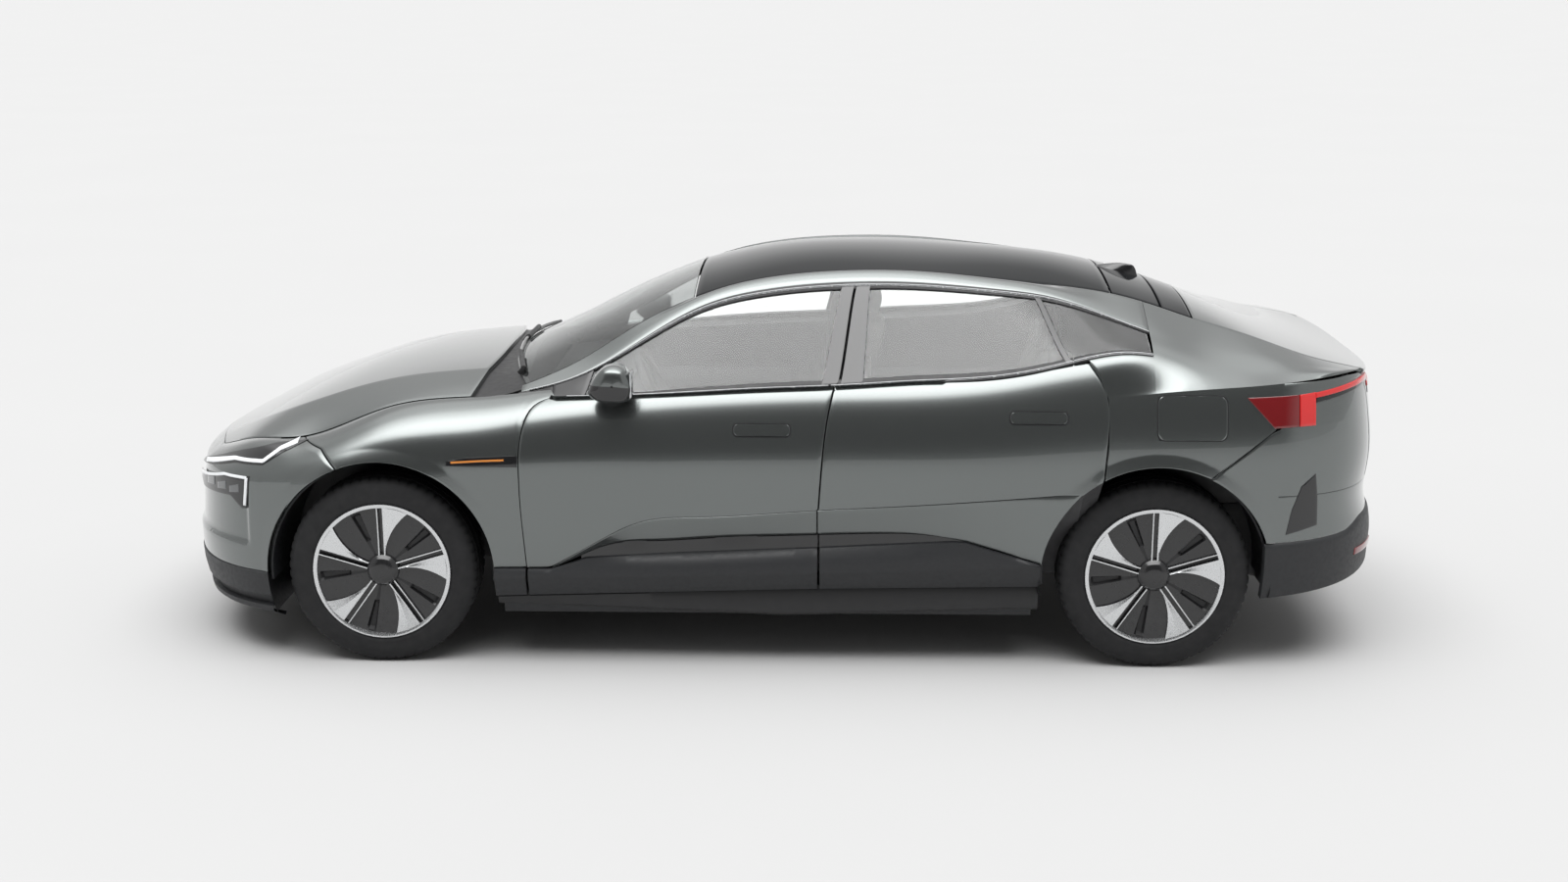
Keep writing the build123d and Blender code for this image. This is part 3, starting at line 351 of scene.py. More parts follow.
class Piece:
    """A mesh gathered from grids, which rides on one body; the right-hand one is its left twin, mirrored."""

    def __init__(self, name, body, slot, *materials, mirror=False):
        self.name = name
        self.body = body
        self.slot = slot
        self.materials = materials
        self.mirror = mirror
        self.points = []
        self.faces = []
        self.kinds = []
        self.count = 0

    def add(self, points, faces, kind=0):
        points = np.array(points, float).reshape(-1, 3)
        if self.mirror:
            points[:, 1] *= -1
            faces = [f[::-1] for f in faces]
        self.points.append(points)
        self.faces += [tuple(i + self.count for i in f) for f in faces]
        self.kinds += [kind] * len(faces)
        self.count += len(points)

    def grid(self, grid, hint=None, kind=0, around=False, hole=None):
        """Adds a grid; hint is the way it faces, hole leaves out faces inside a station and height box."""
        n = np.arange(grid[..., 0].size).reshape(grid.shape[:2])
        quads = cells(np.vstack([n, n[:1]]) if around else n)
        if hint is not None and facing(grid_normals(grid), hint) < 0:
            quads = quads[:, ::-1]
        if hole:
            flat = grid.reshape(-1, 3)[quads][..., ::2]
            inside = ((flat > hole[:2]) & (flat < hole[2:])).all((-1, -2))
            quads = quads[~inside]
        self.add(grid, quads.tolist(), kind)

    def sheet(self, grid, hint, kind=0, **hem):
        self.grid(hemmed(grid, hint, **hem), hint, kind)

    def cover(self, grid, hint, kind=0, depth=HEM_DEPTH, sides="abcd"):
        """A hemmed sheet that isn't pulled back for a shut line."""
        self.sheet(grid, hint, kind, inset=0.0, depth=depth, sides=sides)

    def pair(self, grid, hint, kind=0, **hem):
        """A sheet on the left and its mirror image on the right."""
        for flip in ((1, 1, 1), (1, -1, 1)):
            self.sheet(grid * flip, np.multiply(hint, flip), kind, **hem)

    def slab(self, grid, hint, thick, kind=0):
        """A closed sheet of even thickness, behind the given face."""
        back = grid - grid_normals(grid, hint) * thick
        n = np.arange(grid[..., 0].size).reshape(grid.shape[:2])
        front = cells(n)
        rim = rim_of(n)
        before = np.roll(rim, 1)
        edge = np.stack([rim, before, before + n.size, rim + n.size], -1)
        faces = np.vstack([front, front[:, ::-1] + n.size, edge])
        corner = grid[:-1, :-1]
        if facing(np.cross(grid[1:, :-1] - corner, grid[:-1, 1:] - corner), hint) < 0:
            faces = faces[:, ::-1]
        self.add(np.stack([grid, back]), faces.tolist(), kind)

    def tube(self, path, radius, sides=10, kind=0, flat=1.0):
        """A round or flattened bar along a line of points, with closed ends."""
        path = np.asarray(path, float)
        ahead = unit(np.gradient(path, axis=0))
        side = unit(np.cross(ahead, np.asarray(UP, float)))
        top = np.cross(side, ahead)
        turn = np.linspace(0, 2 * math.pi, sides, endpoint=False)[None, :, None]
        ring = side[:, None] * np.cos(turn) * flat + top[:, None] * np.sin(turn)
        n = np.arange(len(path) * sides).reshape(len(path), sides)
        faces = cells(np.hstack([n, n[:, :1]]))[:, [0, 3, 2, 1]].tolist()
        ends = [n[0, ::-1].tolist(), n[-1].tolist()]
        self.add(path[:, None] + ring * radius, faces + ends, kind)

    def spun(self, profile, centre, count, kind=0):
        """Turns a line of (radius, across) points round the wheel axis."""
        turn = np.linspace(0, 2 * math.pi, count, endpoint=False)[:, None]
        self.grid(round_axis(centre, turn, *np.transpose(profile)), kind=kind, around=True)

    def done(self, *replaced, sharp=35.0):
        mesh = bpy.data.meshes.new(self.name)
        mesh.from_pydata(np.concatenate(self.points).tolist(), [], self.faces)
        for material in self.materials:
            mesh.materials.append(material)
        mesh.polygons.foreach_set("material_index", self.kinds)
        mesh.validate()
        mesh.shade_smooth()
        mesh.set_sharp_from_angle(angle=math.radians(sharp))
        made = bpy.data.objects.new(self.name, mesh)
        bpy.context.scene.collection.objects.link(made)
        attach(made, self.body)
        if replaced:
            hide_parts(*replaced)
        return made


# Materials
def material(name, colour, rough=0.5, metal=0.0, **extra):
    """A plain shader; extra sockets are set by name."""
    made = bpy.data.materials.new(name)
    made.use_nodes = True
    shader = made.node_tree.nodes["Principled BSDF"]
    values = {"Base Color": (*colour, 1), "Roughness": rough, "Metallic": metal, **extra}
    for socket, value in values.items():
        shader.inputs[socket.replace("_", " ")].default_value = value
    return made


def node(made, kind, **values):
    new = made.node_tree.nodes.new(kind)
    for name, value in values.items():
        if name in new.inputs:
            new.inputs[name].default_value = value
        else:
            setattr(new, name, value)
    return new


def link(made, source, output, target, socket):
    made.node_tree.links.new(source.outputs[output], target.inputs[socket])


def noise_on(made, scale, detail):
    """A noise in the object's own coordinates."""
    noise = node(made, "ShaderNodeTexNoise", Scale=scale, Detail=detail)
    link(made, node(made, "ShaderNodeTexCoord"), "Object", noise, "Vector")
    return noise


def ramp(made, stops):
    """A ramp through stops of position and grey level or colour."""
    new = node(made, "ShaderNodeValToRGB")
    elements = new.color_ramp.elements
    elements[0].position, elements[1].position = stops[0][0], stops[-1][0]
    for position, _ in stops[1:-1]:
        elements.new(position)
    for element, (_, value) in zip(elements, stops):
        element.color = (*value, 1) if isinstance(value, tuple) else (value, value, value, 1)
    return new


def vary(made, scale, low, high, socket="Roughness", detail=4.0):
    """Lets a noise move a plain socket between two values, or a colour between two shades."""
    shades = ramp(made, ((0.3, low), (0.7, high)))
    link(made, noise_on(made, scale, detail), "Fac", shades, "Fac")
    link(made, shades, "Color", made.node_tree.nodes["Principled BSDF"], socket)
    return made


def grain(made, scale, strength):
    """A fine surface grain as bump."""
    bump = node(made, "ShaderNodeBump", Strength=strength, Distance=0.001)
    link(made, noise_on(made, scale, 2.0), "Fac", bump, "Height")
    link(made, bump, "Normal", made.node_tree.nodes["Principled BSDF"], "Normal")


def coated(name, colour, rough, coat, scale, low, high):
    """A smooth surface under a clear coat."""
    return vary(material(name, colour, rough, Coat_Weight=coat), scale, low, high)


def clear(name, colour, low, high):
    """Clear glass with a faint tint."""
    made = material(name, colour, 0.0, Transmission_Weight=1.0, IOR=1.45)
    return vary(made, 2.0, low, high, "Base Color")


# Grey-green metallic with flakes under a clear coat
PAINT = material("body_paint_finish", (0.155, 0.168, 0.165), 0.22, 0.9, Coat_Weight=1.0, Coat_Roughness=0.02)
vary(PAINT, 900.0, (0.140, 0.152, 0.149), (0.172, 0.186, 0.183), "Base Color", 2.0)
GLASS = clear("side_glass_finish", (0.96, 0.97, 0.97), (0.950, 0.962, 0.960), (0.966, 0.976, 0.973))
DARK_GLASS = vary(material("roof_glass_finish", (0.010, 0.011, 0.012), 0.03, IOR=1.18), 2.0, 0.02, 0.05)
SCREEN_GLASS = clear("windscreen_finish", (0.70, 0.73, 0.72), (0.69, 0.72, 0.71), (0.72, 0.75, 0.74))
GLOSS = coated("gloss_black_finish", (0.008, 0.008, 0.009), 0.08, 0.6, 30.0, 0.05, 0.12)
CLADDING = vary(material("dark_trim_finish", (0.020, 0.021, 0.023), 0.5), 60.0, 0.42, 0.58)
SATIN = vary(material("satin_black_finish", (0.015, 0.015, 0.016), 0.4), 40.0, 0.34, 0.48)
BRIGHT = vary(material("satin_bright_finish", (0.62, 0.63, 0.64), 0.22, 1.0), 120.0, 0.18, 0.30)
RUBBER = material("tyre_finish", (0.018, 0.018, 0.019), 0.75)
vary(RUBBER, 25.0, (0.007, 0.007, 0.008), (0.014, 0.014, 0.015), "Base Color")
ALLOY = vary(material("machined_alloy_finish", (0.70, 0.71, 0.72), 0.24, 1.0), 200.0, 0.18, 0.32)
BLACK_ALLOY = coated("black_alloy_finish", (0.012, 0.012, 0.013), 0.22, 0.5, 40.0, 0.16, 0.30)
STEEL = vary(material("running_gear_finish", (0.20, 0.20, 0.21), 0.45, 0.9), 18.0, 0.35, 0.6)
CASE = vary(material("structure_finish", (0.035, 0.036, 0.038), 0.6), 12.0, 0.5, 0.72)
LAMP_CLEAR = coated("headlamp_finish", (0.10, 0.105, 0.11), 0.06, 1.0, 60.0, 0.04, 0.10)
LAMP_WHITE = coated("lamp_light_finish", (0.86, 0.88, 0.90), 0.2, 1.0, 300.0, 0.15, 0.3)
LAMP_RED = coated("tail_lamp_finish", (0.16, 0.004, 0.006), 0.06, 1.0, 120.0, 0.04, 0.10)
LAMP_BAR = coated("tail_bar_finish", (0.62, 0.012, 0.012), 0.10, 1.0, 200.0, 0.06, 0.14)
AMBER = coated("amber_finish", (0.65, 0.22, 0.03), 0.12, 1.0, 200.0, 0.08, 0.2)
LEATHER = material("seat_finish", (0.16, 0.155, 0.15), 0.55)
vary(LEATHER, 15.0, (0.135, 0.13, 0.125), (0.185, 0.18, 0.172), "Base Color")
TRIM = vary(material("fascia_finish", (0.05, 0.05, 0.052), 0.6), 30.0, 0.5, 0.7)
for made, scale, strength in ((CLADDING, 900.0, 0.25), (RUBBER, 700.0, 0.35), (CASE, 200.0, 0.2),
                              (LEATHER, 260.0, 0.3), (TRIM, 400.0, 0.2)):
    grain(made, scale, strength)


def wear(*names, finish):
    """Gives carried-over solids their finish."""
    for name in names:
        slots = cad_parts[name].data.materials
        slots.clear()
        slots.append(finish)


def flank_panel(bottom, top, left, right, ni, nj):
    """A grid of the flank between four edges given as stations and heights."""
    def edge(points, count):
        points = resample(points, count)
        return np.column_stack([points[:, 0], flank_level(points[:, 0], points[:, 1])])

    uv = coons(edge(bottom, ni), edge(top, ni), edge(left, nj), edge(right, nj))
    return flank_point(uv[..., 0], uv[..., 1])


def arc(axle, start, end, count):
    """Points of a wheel arch, angles in degrees from straight back, over the top."""
    turn = np.radians(np.linspace(start, end, count))
    return np.column_stack([axle + ARCH_RADIUS * np.cos(turn), AXLE_Z + ARCH_RADIUS * np.sin(turn)])


def arch_angle(level):
    """Angle on the rear half of an arch at a height."""
    return math.degrees(math.asin((level - AXLE_Z) / ARCH_RADIUS))


def arch_front(level):
    """Station of the rear arch's front edge at a height, less half a shut line."""
    return REAR_AXLE - np.sqrt(ARCH_RADIUS ** 2 - (level - AXLE_Z) ** 2) - GAP / 2


def line(low, high, count, fn):
    x = np.linspace(low, high, count)
    return np.column_stack([x, fn(x)])


def belt(x):
    return upper(x)[..., 5]


def edge_top(x):
    return flank(x)[..., 1] - 0.0005


LID_HALF = 0.644
LID_FOOT = 0.700
# Joint of rear bumper and quarter: angle on the arch, then station and height
JOINT_ANGLE = 64.0
JOINT_TOP = (1.912, 0.958)
JOINT_CREASE = (1.945, 1.127)
# Charge flap: low and high corner, as station and height
FLAP = (1.462, 0.916, 1.727, 1.082)
# Joint of front bumper and fender: angle on the arch, bend, and station of its tip on the bonnet line
FENDER_ANGLE = 111.0
FENDER_BEND = (-1.752, 0.848)
FENDER_TIP = -1.845
NOSE_START = -1.95
NOSE_FOOT = 0.348
# Height above which the nose eases to the bonnet's edge
NOSE_EASE = 0.62
# Shallow pocket round the lower lamps: depth, station of its end, low and high edge
POCKET_DEPTH = 0.012
POCKET_END = -2.055
POCKET_LOW = 0.452
POCKET_HIGH = 0.735
# Station at which the skirt starts
SKIRT_START = -1.972
# Angles on the arches: of the cladding's top, and of the foot of the rear doors' rear shut line
LOW_ANGLE = arch_angle(CLADDING_TOP)
SHUT_ANGLE = 180 - arch_angle(REAR_LINE[-1][1])


def fender(side, mirror, tag):
    piece = Piece("fender_skin_" + side, "body", "body_paint", PAINT, mirror=mirror)
    bottom = arc(FRONT_AXLE, FENDER_ANGLE, LOW_ANGLE, 80)
    left = resample([tuple(bottom[0]), FENDER_BEND, (FENDER_TIP, edge_top(FENDER_TIP))], 30)
    rear = smooth(FENDER_REAR, 60)
    rear = rear[rear[:, 1] > CLADDING_TOP][::-1]
    right = np.vstack([bottom[-1], [(-0.9565, CLADDING_TOP)], rear])
    top = line(FENDER_TIP, right[-1, 0], 60, edge_top)
    top[-1] = right[-1]
    piece.sheet(flank_panel(bottom, top, left, right, 72, 40), OUT)
    piece.done("fender_" + side)


# Door cards: foot, half width, and the arm rest's height, depth and half length
CARD_FOOT = 0.335
CARD_PLANE = 0.780
ARM_HEIGHT = 0.80
ARM_DEPTH = 0.050
ARM_HALF = 0.46
# Station at which the scoop's upper edge crosses the shut line between the doors
MIDDLE_FOOT = 0.172
# Ends of the front door's scoop and of the rail over the side windows
SCOOP_START = -0.853
RAIL_END = 1.455


def doors(side, mirror, tag):
    """Front and rear door skins with the scoop along their feet, and the cards inside them."""
    for name, body, first, last in (("front", "door_f" + tag, FENDER_REAR, MIDDLE_LINE),
                                    ("rear", "door_r" + tag, MIDDLE_LINE, REAR_LINE)):
        piece = Piece("door_skin_" + name + "_" + side, body, "body_paint", PAINT, TRIM, mirror=mirror)
        left = smooth(first, 80)[::-1]
        right = smooth(last, 80)[::-1]
        t = np.linspace(0, 1, 9)
        if name == "front":
            left = left[left[:, 1] > CLADDING_TOP]
            foot_left = (left[0, 0], CLADDING_TOP)
            shelf = np.array([foot_left, (SCOOP_TOP[0][0], CLADDING_TOP + 0.003)])
            foot = np.vstack([shelf, line(SCOOP_START - 0.002, MIDDLE_FOOT - 0.002, 60, scoop_top)])
            left = np.vstack([[foot_left], left])
            right = np.vstack([foot[-1:], right[right[:, 1] > scoop_top(MIDDLE_FOOT)]])
            start, end = SCOOP_START, MIDDLE_FOOT - 0.002 + 0 * t
        else:
            foot = line(MIDDLE_FOOT, 1.126, 60, scoop_top)
            left = np.vstack([foot[:1], left[left[:, 1] > scoop_top(MIDDLE_FOOT)]])
            rise = arc(REAR_AXLE, 180 - arch_angle(foot[-1, 1]), SHUT_ANGLE, 20)
            foot[-1] = rise[0]
            right = np.vstack([rise, right[1:]])
            start, end = MIDDLE_FOOT + 0.002, arch_front(0.415 + 0.287 * t)
        top = line(left[-1, 0], right[-1, 0], 50, belt)
        left[-1] = top[0]
        right[-1] = top[-1]
        skin = flank_panel(foot, top, left, right, 56, 44)
        piece.sheet(skin, OUT)
        middle = skin[..., 0].mean()
        z = between(CARD_FOOT, skin[:, -1:, 2] - 0.012, np.linspace(0, 1, 44))
        reach = np.clip((ARM_HALF - np.abs(skin[..., 0] - middle)) / 0.06, 0, 1)
        arm = ARM_DEPTH * np.exp(-((z - ARM_HEIGHT) / 0.05) ** 4) * reach
        card = np.stack([middle + (skin[..., 0] - middle) * 0.93, -CARD_PLANE + arm, z], -1)
        piece.grid(card, (0, 1, 0), kind=1)
        piece.grid(np.stack([rim_of(skin + (0, 0.012, 0)), rim_of(card)], 1), kind=1, around=True)
        x = start + (end - start) * np.linspace(0, 1, 56)[:, None]
        inner = flank_at(x, paint_low(x))
        inner[..., 1] += scoop_depth(x)
        piece.cover(between(inner, flank_at(x, scoop_top(x)), t[:, None]), (0, -1, -0.3))
        piece.done("door_" + name + "_" + side)


def quarter(side, mirror, tag):
    """Rail, pillar and rear quarter in one pressing."""
    piece = Piece("body_side_skin_" + side, "body", "body_paint", PAINT, mirror=mirror)
    above = (0, -0.6, 1)
    piece.cover(over(upper_point, np.linspace(-0.99, RAIL_END, 110), np.linspace(0, 1, 9)), OUT)
    pillar = over(upper_point, np.linspace(RAIL_END, 2.300, 60), np.linspace(0, 3, 40))
    piece.sheet(pillar, above, sides="bc", inset=0.001)
    t = np.linspace(0, 1, 24)[:, None]
    s = np.linspace(2, 3, 14)
    x = between(np.interp(s, (2, 2.5, 3), (1.206, 1.252, 1.277)), RAIL_END + 0.002, t)
    piece.cover(upper_point(x, s + 0 * x), above, sides="ac")
    bottom = arc(REAR_AXLE, SHUT_ANGLE, JOINT_ANGLE, 80)
    right = np.vstack([resample([tuple(bottom[-1] + (-0.003, 0.004)), JOINT_TOP], 24),
                       resample([JOINT_TOP, JOINT_CREASE], 16)[1:]])
    left = smooth(REAR_LINE[2:], 40)[::-1]
    top = line(left[-1, 0], right[-1, 0], 50, crease)
    left[0] = bottom[0]
    left[-1] = top[0]
    right[-1] = top[-1]
    skin = hemmed(flank_panel(bottom, top, left, right, 96, 48), OUT, sides="ac")
    piece.grid(skin, OUT, hole=None if mirror else FLAP)
    piece.done("body_side_" + side)


def nose_rows(phi, z):
    """Points of the nose by its plan angle, 0 at the flank and 90 degrees at the tip."""
    reach = np.sin(phi) ** (2 / NOSE_SQUARE)
    x = NOSE_FLANK + (nose_tip(z) - NOSE_FLANK) * reach
    return np.stack([x, -flank_width(x, z) * np.cos(phi) ** (2 / NOSE_SQUARE), z + 0 * x], -1)


# Share of the bonnet's half width at which its crease runs, and station of its front edge on the centre line
FOLD = 0.68
BONNET_FRONT = BONNET_CROWN[0][0]


def bonnet_point(x, r):
    """Point of the bonnet: r is -1 at its left edge, 1 at its right."""
    we, ze, _, _ = np.moveaxis(flank(x), -1, 0)
    w = we * plan(x, ze)
    a = np.abs(r)
    fold = np.maximum(a - FOLD, 0)
    rise = np.where(a < FOLD, 1 - 0.2 * (a / FOLD) ** 2, 0.8 - 1.8 * fold - 2.19 * fold ** 2)
    return np.stack([x, r * w, ze + (bonnet_crown(x) - ze) * rise], -1)


def bonnet_front(r):
    return BONNET_FRONT + 0.100 * np.abs(r) ** 2.2


def bonnet_rear(r):
    return -1.125 - 0.060 * np.abs(r) ** 2.5


def bonnet():
    piece = Piece("bonnet_skin", "bonnet", "body_paint", PAINT, SATIN)
    half = np.concatenate([np.linspace(0, FOLD - 0.02, 18), np.linspace(FOLD, 1, 12)])
    r = np.concatenate([-half[:0:-1], half])[:, None]
    x = between(bonnet_front(r), bonnet_rear(r), np.linspace(0, 1, 60))
    skin = bonnet_point(x, r + 0 * x)
    piece.sheet(skin, UP)
    piece.grid(raised(skin, UP, -0.022)[1:-1, 1:-1], (0, 0, -1), kind=1)
    piece.done("bonnet")


def nose_top(count):
    """The upper edge of the front bumper, from the left flank round to the middle."""
    r = np.linspace(-1, 0, count)
    front = bonnet_point(bonnet_front(r), r)
    x = np.linspace(NOSE_START, -2.245, count, endpoint=False)
    edge = flank_point(x, np.full(count, 0.999))
    return np.vstack([edge, front])


def whole(rows):
    """A left half that ends on the centre line, with its mirror image."""
    return np.vstack([rows, (rows * (1, -1, 1))[-2::-1]])


def front_bumper():
    piece = Piece("front_bumper_skin", "body", "body_paint", PAINT)
    top = nose_top(40)
    z1 = top[:, 2]
    ratio = np.clip((top[:, 0] - NOSE_FLANK) / (nose_tip(z1) - NOSE_FLANK), 0, 1)
    phi = np.arcsin(np.clip(ratio ** (NOSE_SQUARE / 2), 0, 1))
    t = np.linspace(0, 1, 36)
    z = between(NOSE_FOOT, z1[:, None], t)
    rows = nose_rows(phi[:, None] + 0 * z, z)
    first = rows[0].copy()
    fix = top - rows[:, -1]
    ease = np.clip((z - NOSE_EASE) / (z1[:, None] - NOSE_EASE), 0, 1) ** 2
    rows = rows + fix[:, None] * ease[..., None]
    inward = unit(np.array([-1.7, 0, 0.5]) - rows) * (1, 1, 0)
    x, _, z = np.moveaxis(rows, -1, 0)
    pocket = (np.clip((POCKET_END - x) / 0.014, 0, 1) * np.clip((z - POCKET_LOW) / 0.016, 0, 1)
              * np.clip((POCKET_HIGH - z) / 0.05, 0, 1))
    rows = rows + inward * (POCKET_DEPTH * pocket)[..., None]
    piece.sheet(whole(rows), (-1, 0, 0.3), sides="cd")
    left = np.column_stack([first[:, 0], first[:, 2]])
    foot = 180 - arch_angle(NOSE_FOOT)
    right = arc(FRONT_AXLE, foot, FENDER_ANGLE, 50)
    joint = line(NOSE_START, FENDER_TIP, 12, edge_top)
    top = np.vstack([joint, [FENDER_BEND], right[-1:]])
    left[-1] = top[0]
    bottom = np.array([left[0], right[0]])
    side = flank_panel(bottom, top, left, right, 40, 36)
    piece.pair(side, OUT, sides="bcd")
    piece.done("front_bumper")


def front_skirt():
    """Dark lower nose with a splitter lip."""
    piece = Piece("front_skirt_cover", "body", "dark_trim", CLADDING, GLOSS)
    steps = ((0.352, -0.004), (0.346, 0.004), (0.300, 0.005), (0.252, 0.002), (0.244, -0.016),
             (0.214, -0.020),
             (0.206, 0.002), (0.188, 0.004), (0.180, -0.004), (0.150, -0.060))
    z, out = np.transpose(steps)
    reach = (SKIRT_START - NOSE_FLANK) / (nose_tip(z) - NOSE_FLANK)
    start = np.arcsin(np.clip(reach, 0, 1) ** (NOSE_SQUARE / 2))
    phi = between(start, math.pi / 2, np.linspace(0, 1, 60)[:, None])
    rows = nose_rows(phi, z[None] + 0 * phi)
    ways = unit(rows - (-1.5, 0, 0.3)) * (1, 1, 0)
    piece.cover(whole(rows + ways * out[None, :, None]), (-1, 0, 0), sides="cd")
    piece.done("front_skirt")


def tail_point(y, z):
    """Point of the tail at half width y and height z."""
    share = np.clip(np.abs(y) / flank_width(np.full_like(z, 2.2), z), 0, 0.9999)
    reach = (1 - share ** TAIL_SQUARE) ** (1 / TAIL_SQUARE)
    return np.stack([TAIL_FLANK + (tail_tip(z) - TAIL_FLANK) * reach, y, z], -1)


def tail_by_angle(phi, z):
    x = TAIL_FLANK + (tail_tip(z) - TAIL_FLANK) * np.sin(phi) ** (2 / TAIL_SQUARE)
    return np.stack([x, -flank_width(x, z) * np.cos(phi) ** (2 / TAIL_SQUARE), z], -1)


# Station of the tail's seam, and heights round the tail by share from the seam to the middle
TAIL_SEAM = 1.93
PAINT_FOOT = 0.512
SEAM_TOP = 0.960
CORNER_ANGLE = math.acos((LID_HALF / 0.99) ** (TAIL_SQUARE / 2))
REAR_PAINT_LOW = ((0, PAINT_FOOT), (0.35, 0.530), (0.5, 0.566), (1, 0.566))
REAR_TRIM_LOW = ((0, 0.285), (0.5, 0.335), (1, 0.385))
LID_LINE = ((0, LID_FOOT), (1, LID_FOOT))
CORNER_LINE = ((0, SEAM_TOP), (1, 0.985))
CORNER_TOP = ((0, 1.127), (0.6, 1.136), (1, 1.124))


def tail_columns(low, high, rows, count, start=TAIL_SEAM, end=math.pi / 2):
    """Rows of the tail from the flank round to the centre line, between two tables of share and height."""
    share = np.linspace(0, 1, count)
    foot, head = (np.interp(share, *np.transpose(table))[:, None] for table in (low, high))
    z = between(foot, head, np.linspace(0, 1, rows))
    first = np.arcsin(((start - TAIL_FLANK) / (tail_tip(z) - TAIL_FLANK)) ** (TAIL_SQUARE / 2))
    return tail_by_angle(between(first, end, share[:, None]), z)


def rear_bumper():
    """Rear bumper with its flanks, and above it the corners beside the lid."""
    piece = Piece("rear_bumper_skin", "body", "body_paint", PAINT)
    piece.sheet(whole(tail_columns(REAR_PAINT_LOW, LID_LINE, 16, 60)), (1, 0, 0), sides="cd", inset=0.001)
    corner = tail_columns(LID_LINE, CORNER_LINE, 14, 40, end=CORNER_ANGLE)
    piece.pair(corner, (1, -1, 0), sides="b", inset=0.002)
    corner = tail_columns(CORNER_LINE, CORNER_TOP, 10, 40, end=CORNER_ANGLE)
    piece.pair(corner, (1, -1, 0), sides="bd", inset=0.001)
    left = arc(REAR_AXLE, arch_angle(PAINT_FOOT), JOINT_ANGLE, 40)
    top = resample([tuple(left[-1]), JOINT_TOP], 20)
    right = np.array([(TAIL_SEAM, PAINT_FOOT), (TAIL_SEAM, SEAM_TOP)])
    top[-1] = right[-1]
    bottom = np.array([left[0], right[0]])
    piece.pair(flank_panel(bottom, top, left, right, 24, 30), (0, -1, 0), sides="acd")
    piece.done("rear_bumper")


def rear_trim():
    """Dark lower bumper round the tail, with upright vents at the corners."""
    piece = Piece("rear_skirt_cover", "body", "dark_trim", CLADDING, GLOSS, LAMP_RED)
    rows = tail_columns(REAR_TRIM_LOW, REAR_PAINT_LOW, 16, 60, start=1.885)
    t = np.linspace(0, 1, 16)
    proud = 0.008 * np.sin(np.clip(t * 1.6, 0, 1) * math.pi / 2) - 0.010 * np.clip(t - 0.93, 0, 1) / 0.07
    ways = unit(rows - (1.2, 0, 0.4)) * (1, 1, 0)
    piece.cover(whole(rows + ways * proud[None, :, None]), (1, 0, 0), depth=0.03)
    left = [(1.967, 0.545), (1.985, 0.64), (2.020, 0.735)]
    right = [(2.094, 0.576), (2.090, 0.68), (2.076, 0.783)]
    outline = coons(resample([left[0], right[0]], 10), resample([left[-1], right[-1]], 10),
                    resample(left, 16), resample(right, 16))
    vent = flank_at(outline[..., 0], outline[..., 1]) + (0, -0.003, 0)
    piece.pair(vent, (0.3, -1, 0), 1, inset=0.0, depth=0.008)
    lamp = over(tail_point, -np.linspace(0.60, 0.80, 12), np.linspace(0.420, 0.448, 4)) + (0.012, 0, 0)
    piece.pair(lamp, (1, -1, 0), 2, inset=0.0, depth=0.01)
    piece.done("rear_skirt")


# Lid: station where its paint starts, half width and height of its lip
DECK_START = 1.658
LIP_HALF = 0.655
LIP_HEIGHT = 1.118
# Recess for a plate in the lid: depth, low and high edge, half width
PLATE_DEPTH = 0.030
PLATE_LOW = 0.73
PLATE_HIGH = 0.86
PLATE_HALF = 0.34
# Windscreen: station of its foot on the centre line, how far the foot sweeps back, station of its top
SCREEN_FOOT = -1.085
SCREEN_SWEEP = 0.11
SCREEN_TOP = -0.322


def deck_point(x, r):
    """Point of the roof and deck: r is -1 at the left edge, 1 at the right."""
    half, edge = np.moveaxis(upper(np.asarray(x, float)), -1, 0)[:2]
    return np.stack([x, r * half, edge + (roof_crown(x) - edge) * (1 - r ** 2)], -1)


def tailgate():
    """Dark front strip, painted deck, spoiler lip and upright tail in one lid."""
    piece = Piece("tailgate_skin", "tailgate", "body_paint", PAINT, DARK_GLASS, TRIM)
    r = np.linspace(-1, 1, 50)
    piece.sheet(over(deck_point, np.linspace(1.533, DECK_START - 0.002, 12), r), UP, kind=1)
    rear = tail_point(r * LIP_HALF, np.full_like(r, LIP_HEIGHT))[:, 0] - 0.016
    t = np.linspace(0, 1, 40)[:, None]
    x = between(DECK_START, rear, t)
    deck = deck_point(x, r + 0 * x)
    _, width, level = deck[-1].T
    z = between(level - 0.034, LID_FOOT, t)
    face = tail_point(width * (1 + (LID_HALF / np.abs(width).max() - 1) * np.clip(t * 6, 0, 1)), z)
    recess = PLATE_DEPTH * np.clip((PLATE_HIGH - z) / 0.02, 0, 1) * np.clip((z - PLATE_LOW) / 0.03, 0, 1)
    recess = recess * np.clip((PLATE_HALF - np.abs(face[..., 1])) / 0.03, 0, 1)
    face[..., 0] -= recess + 0.008 * (t < 0.02)
    lip = [deck[-1:] + step for step in ((0.012, 0, -0.003), (0.016, 0, -0.012), (0.006, 0, -0.026))]
    piece.sheet(np.vstack([deck, *lip, face]), (0.6, 0, 1))
    lining = np.vstack([deck[:-3] - (0, 0, 0.030), face[3:] - (0.035, 0, 0)])
    piece.grid(lining[:, 1:-1], (-0.6, 0, -1), kind=2)
    piece.done("tailgate")


def roof():
    piece = Piece("roof_panel", "body", "roof_glass", DARK_GLASS)
    for low, high in ((-0.318, 1.326), (1.330, 1.528)):
        piece.sheet(over(deck_point, np.linspace(low, high, 60), np.linspace(-1, 1, 40)), UP)
    piece.done("roof_glass", "roof_rear")


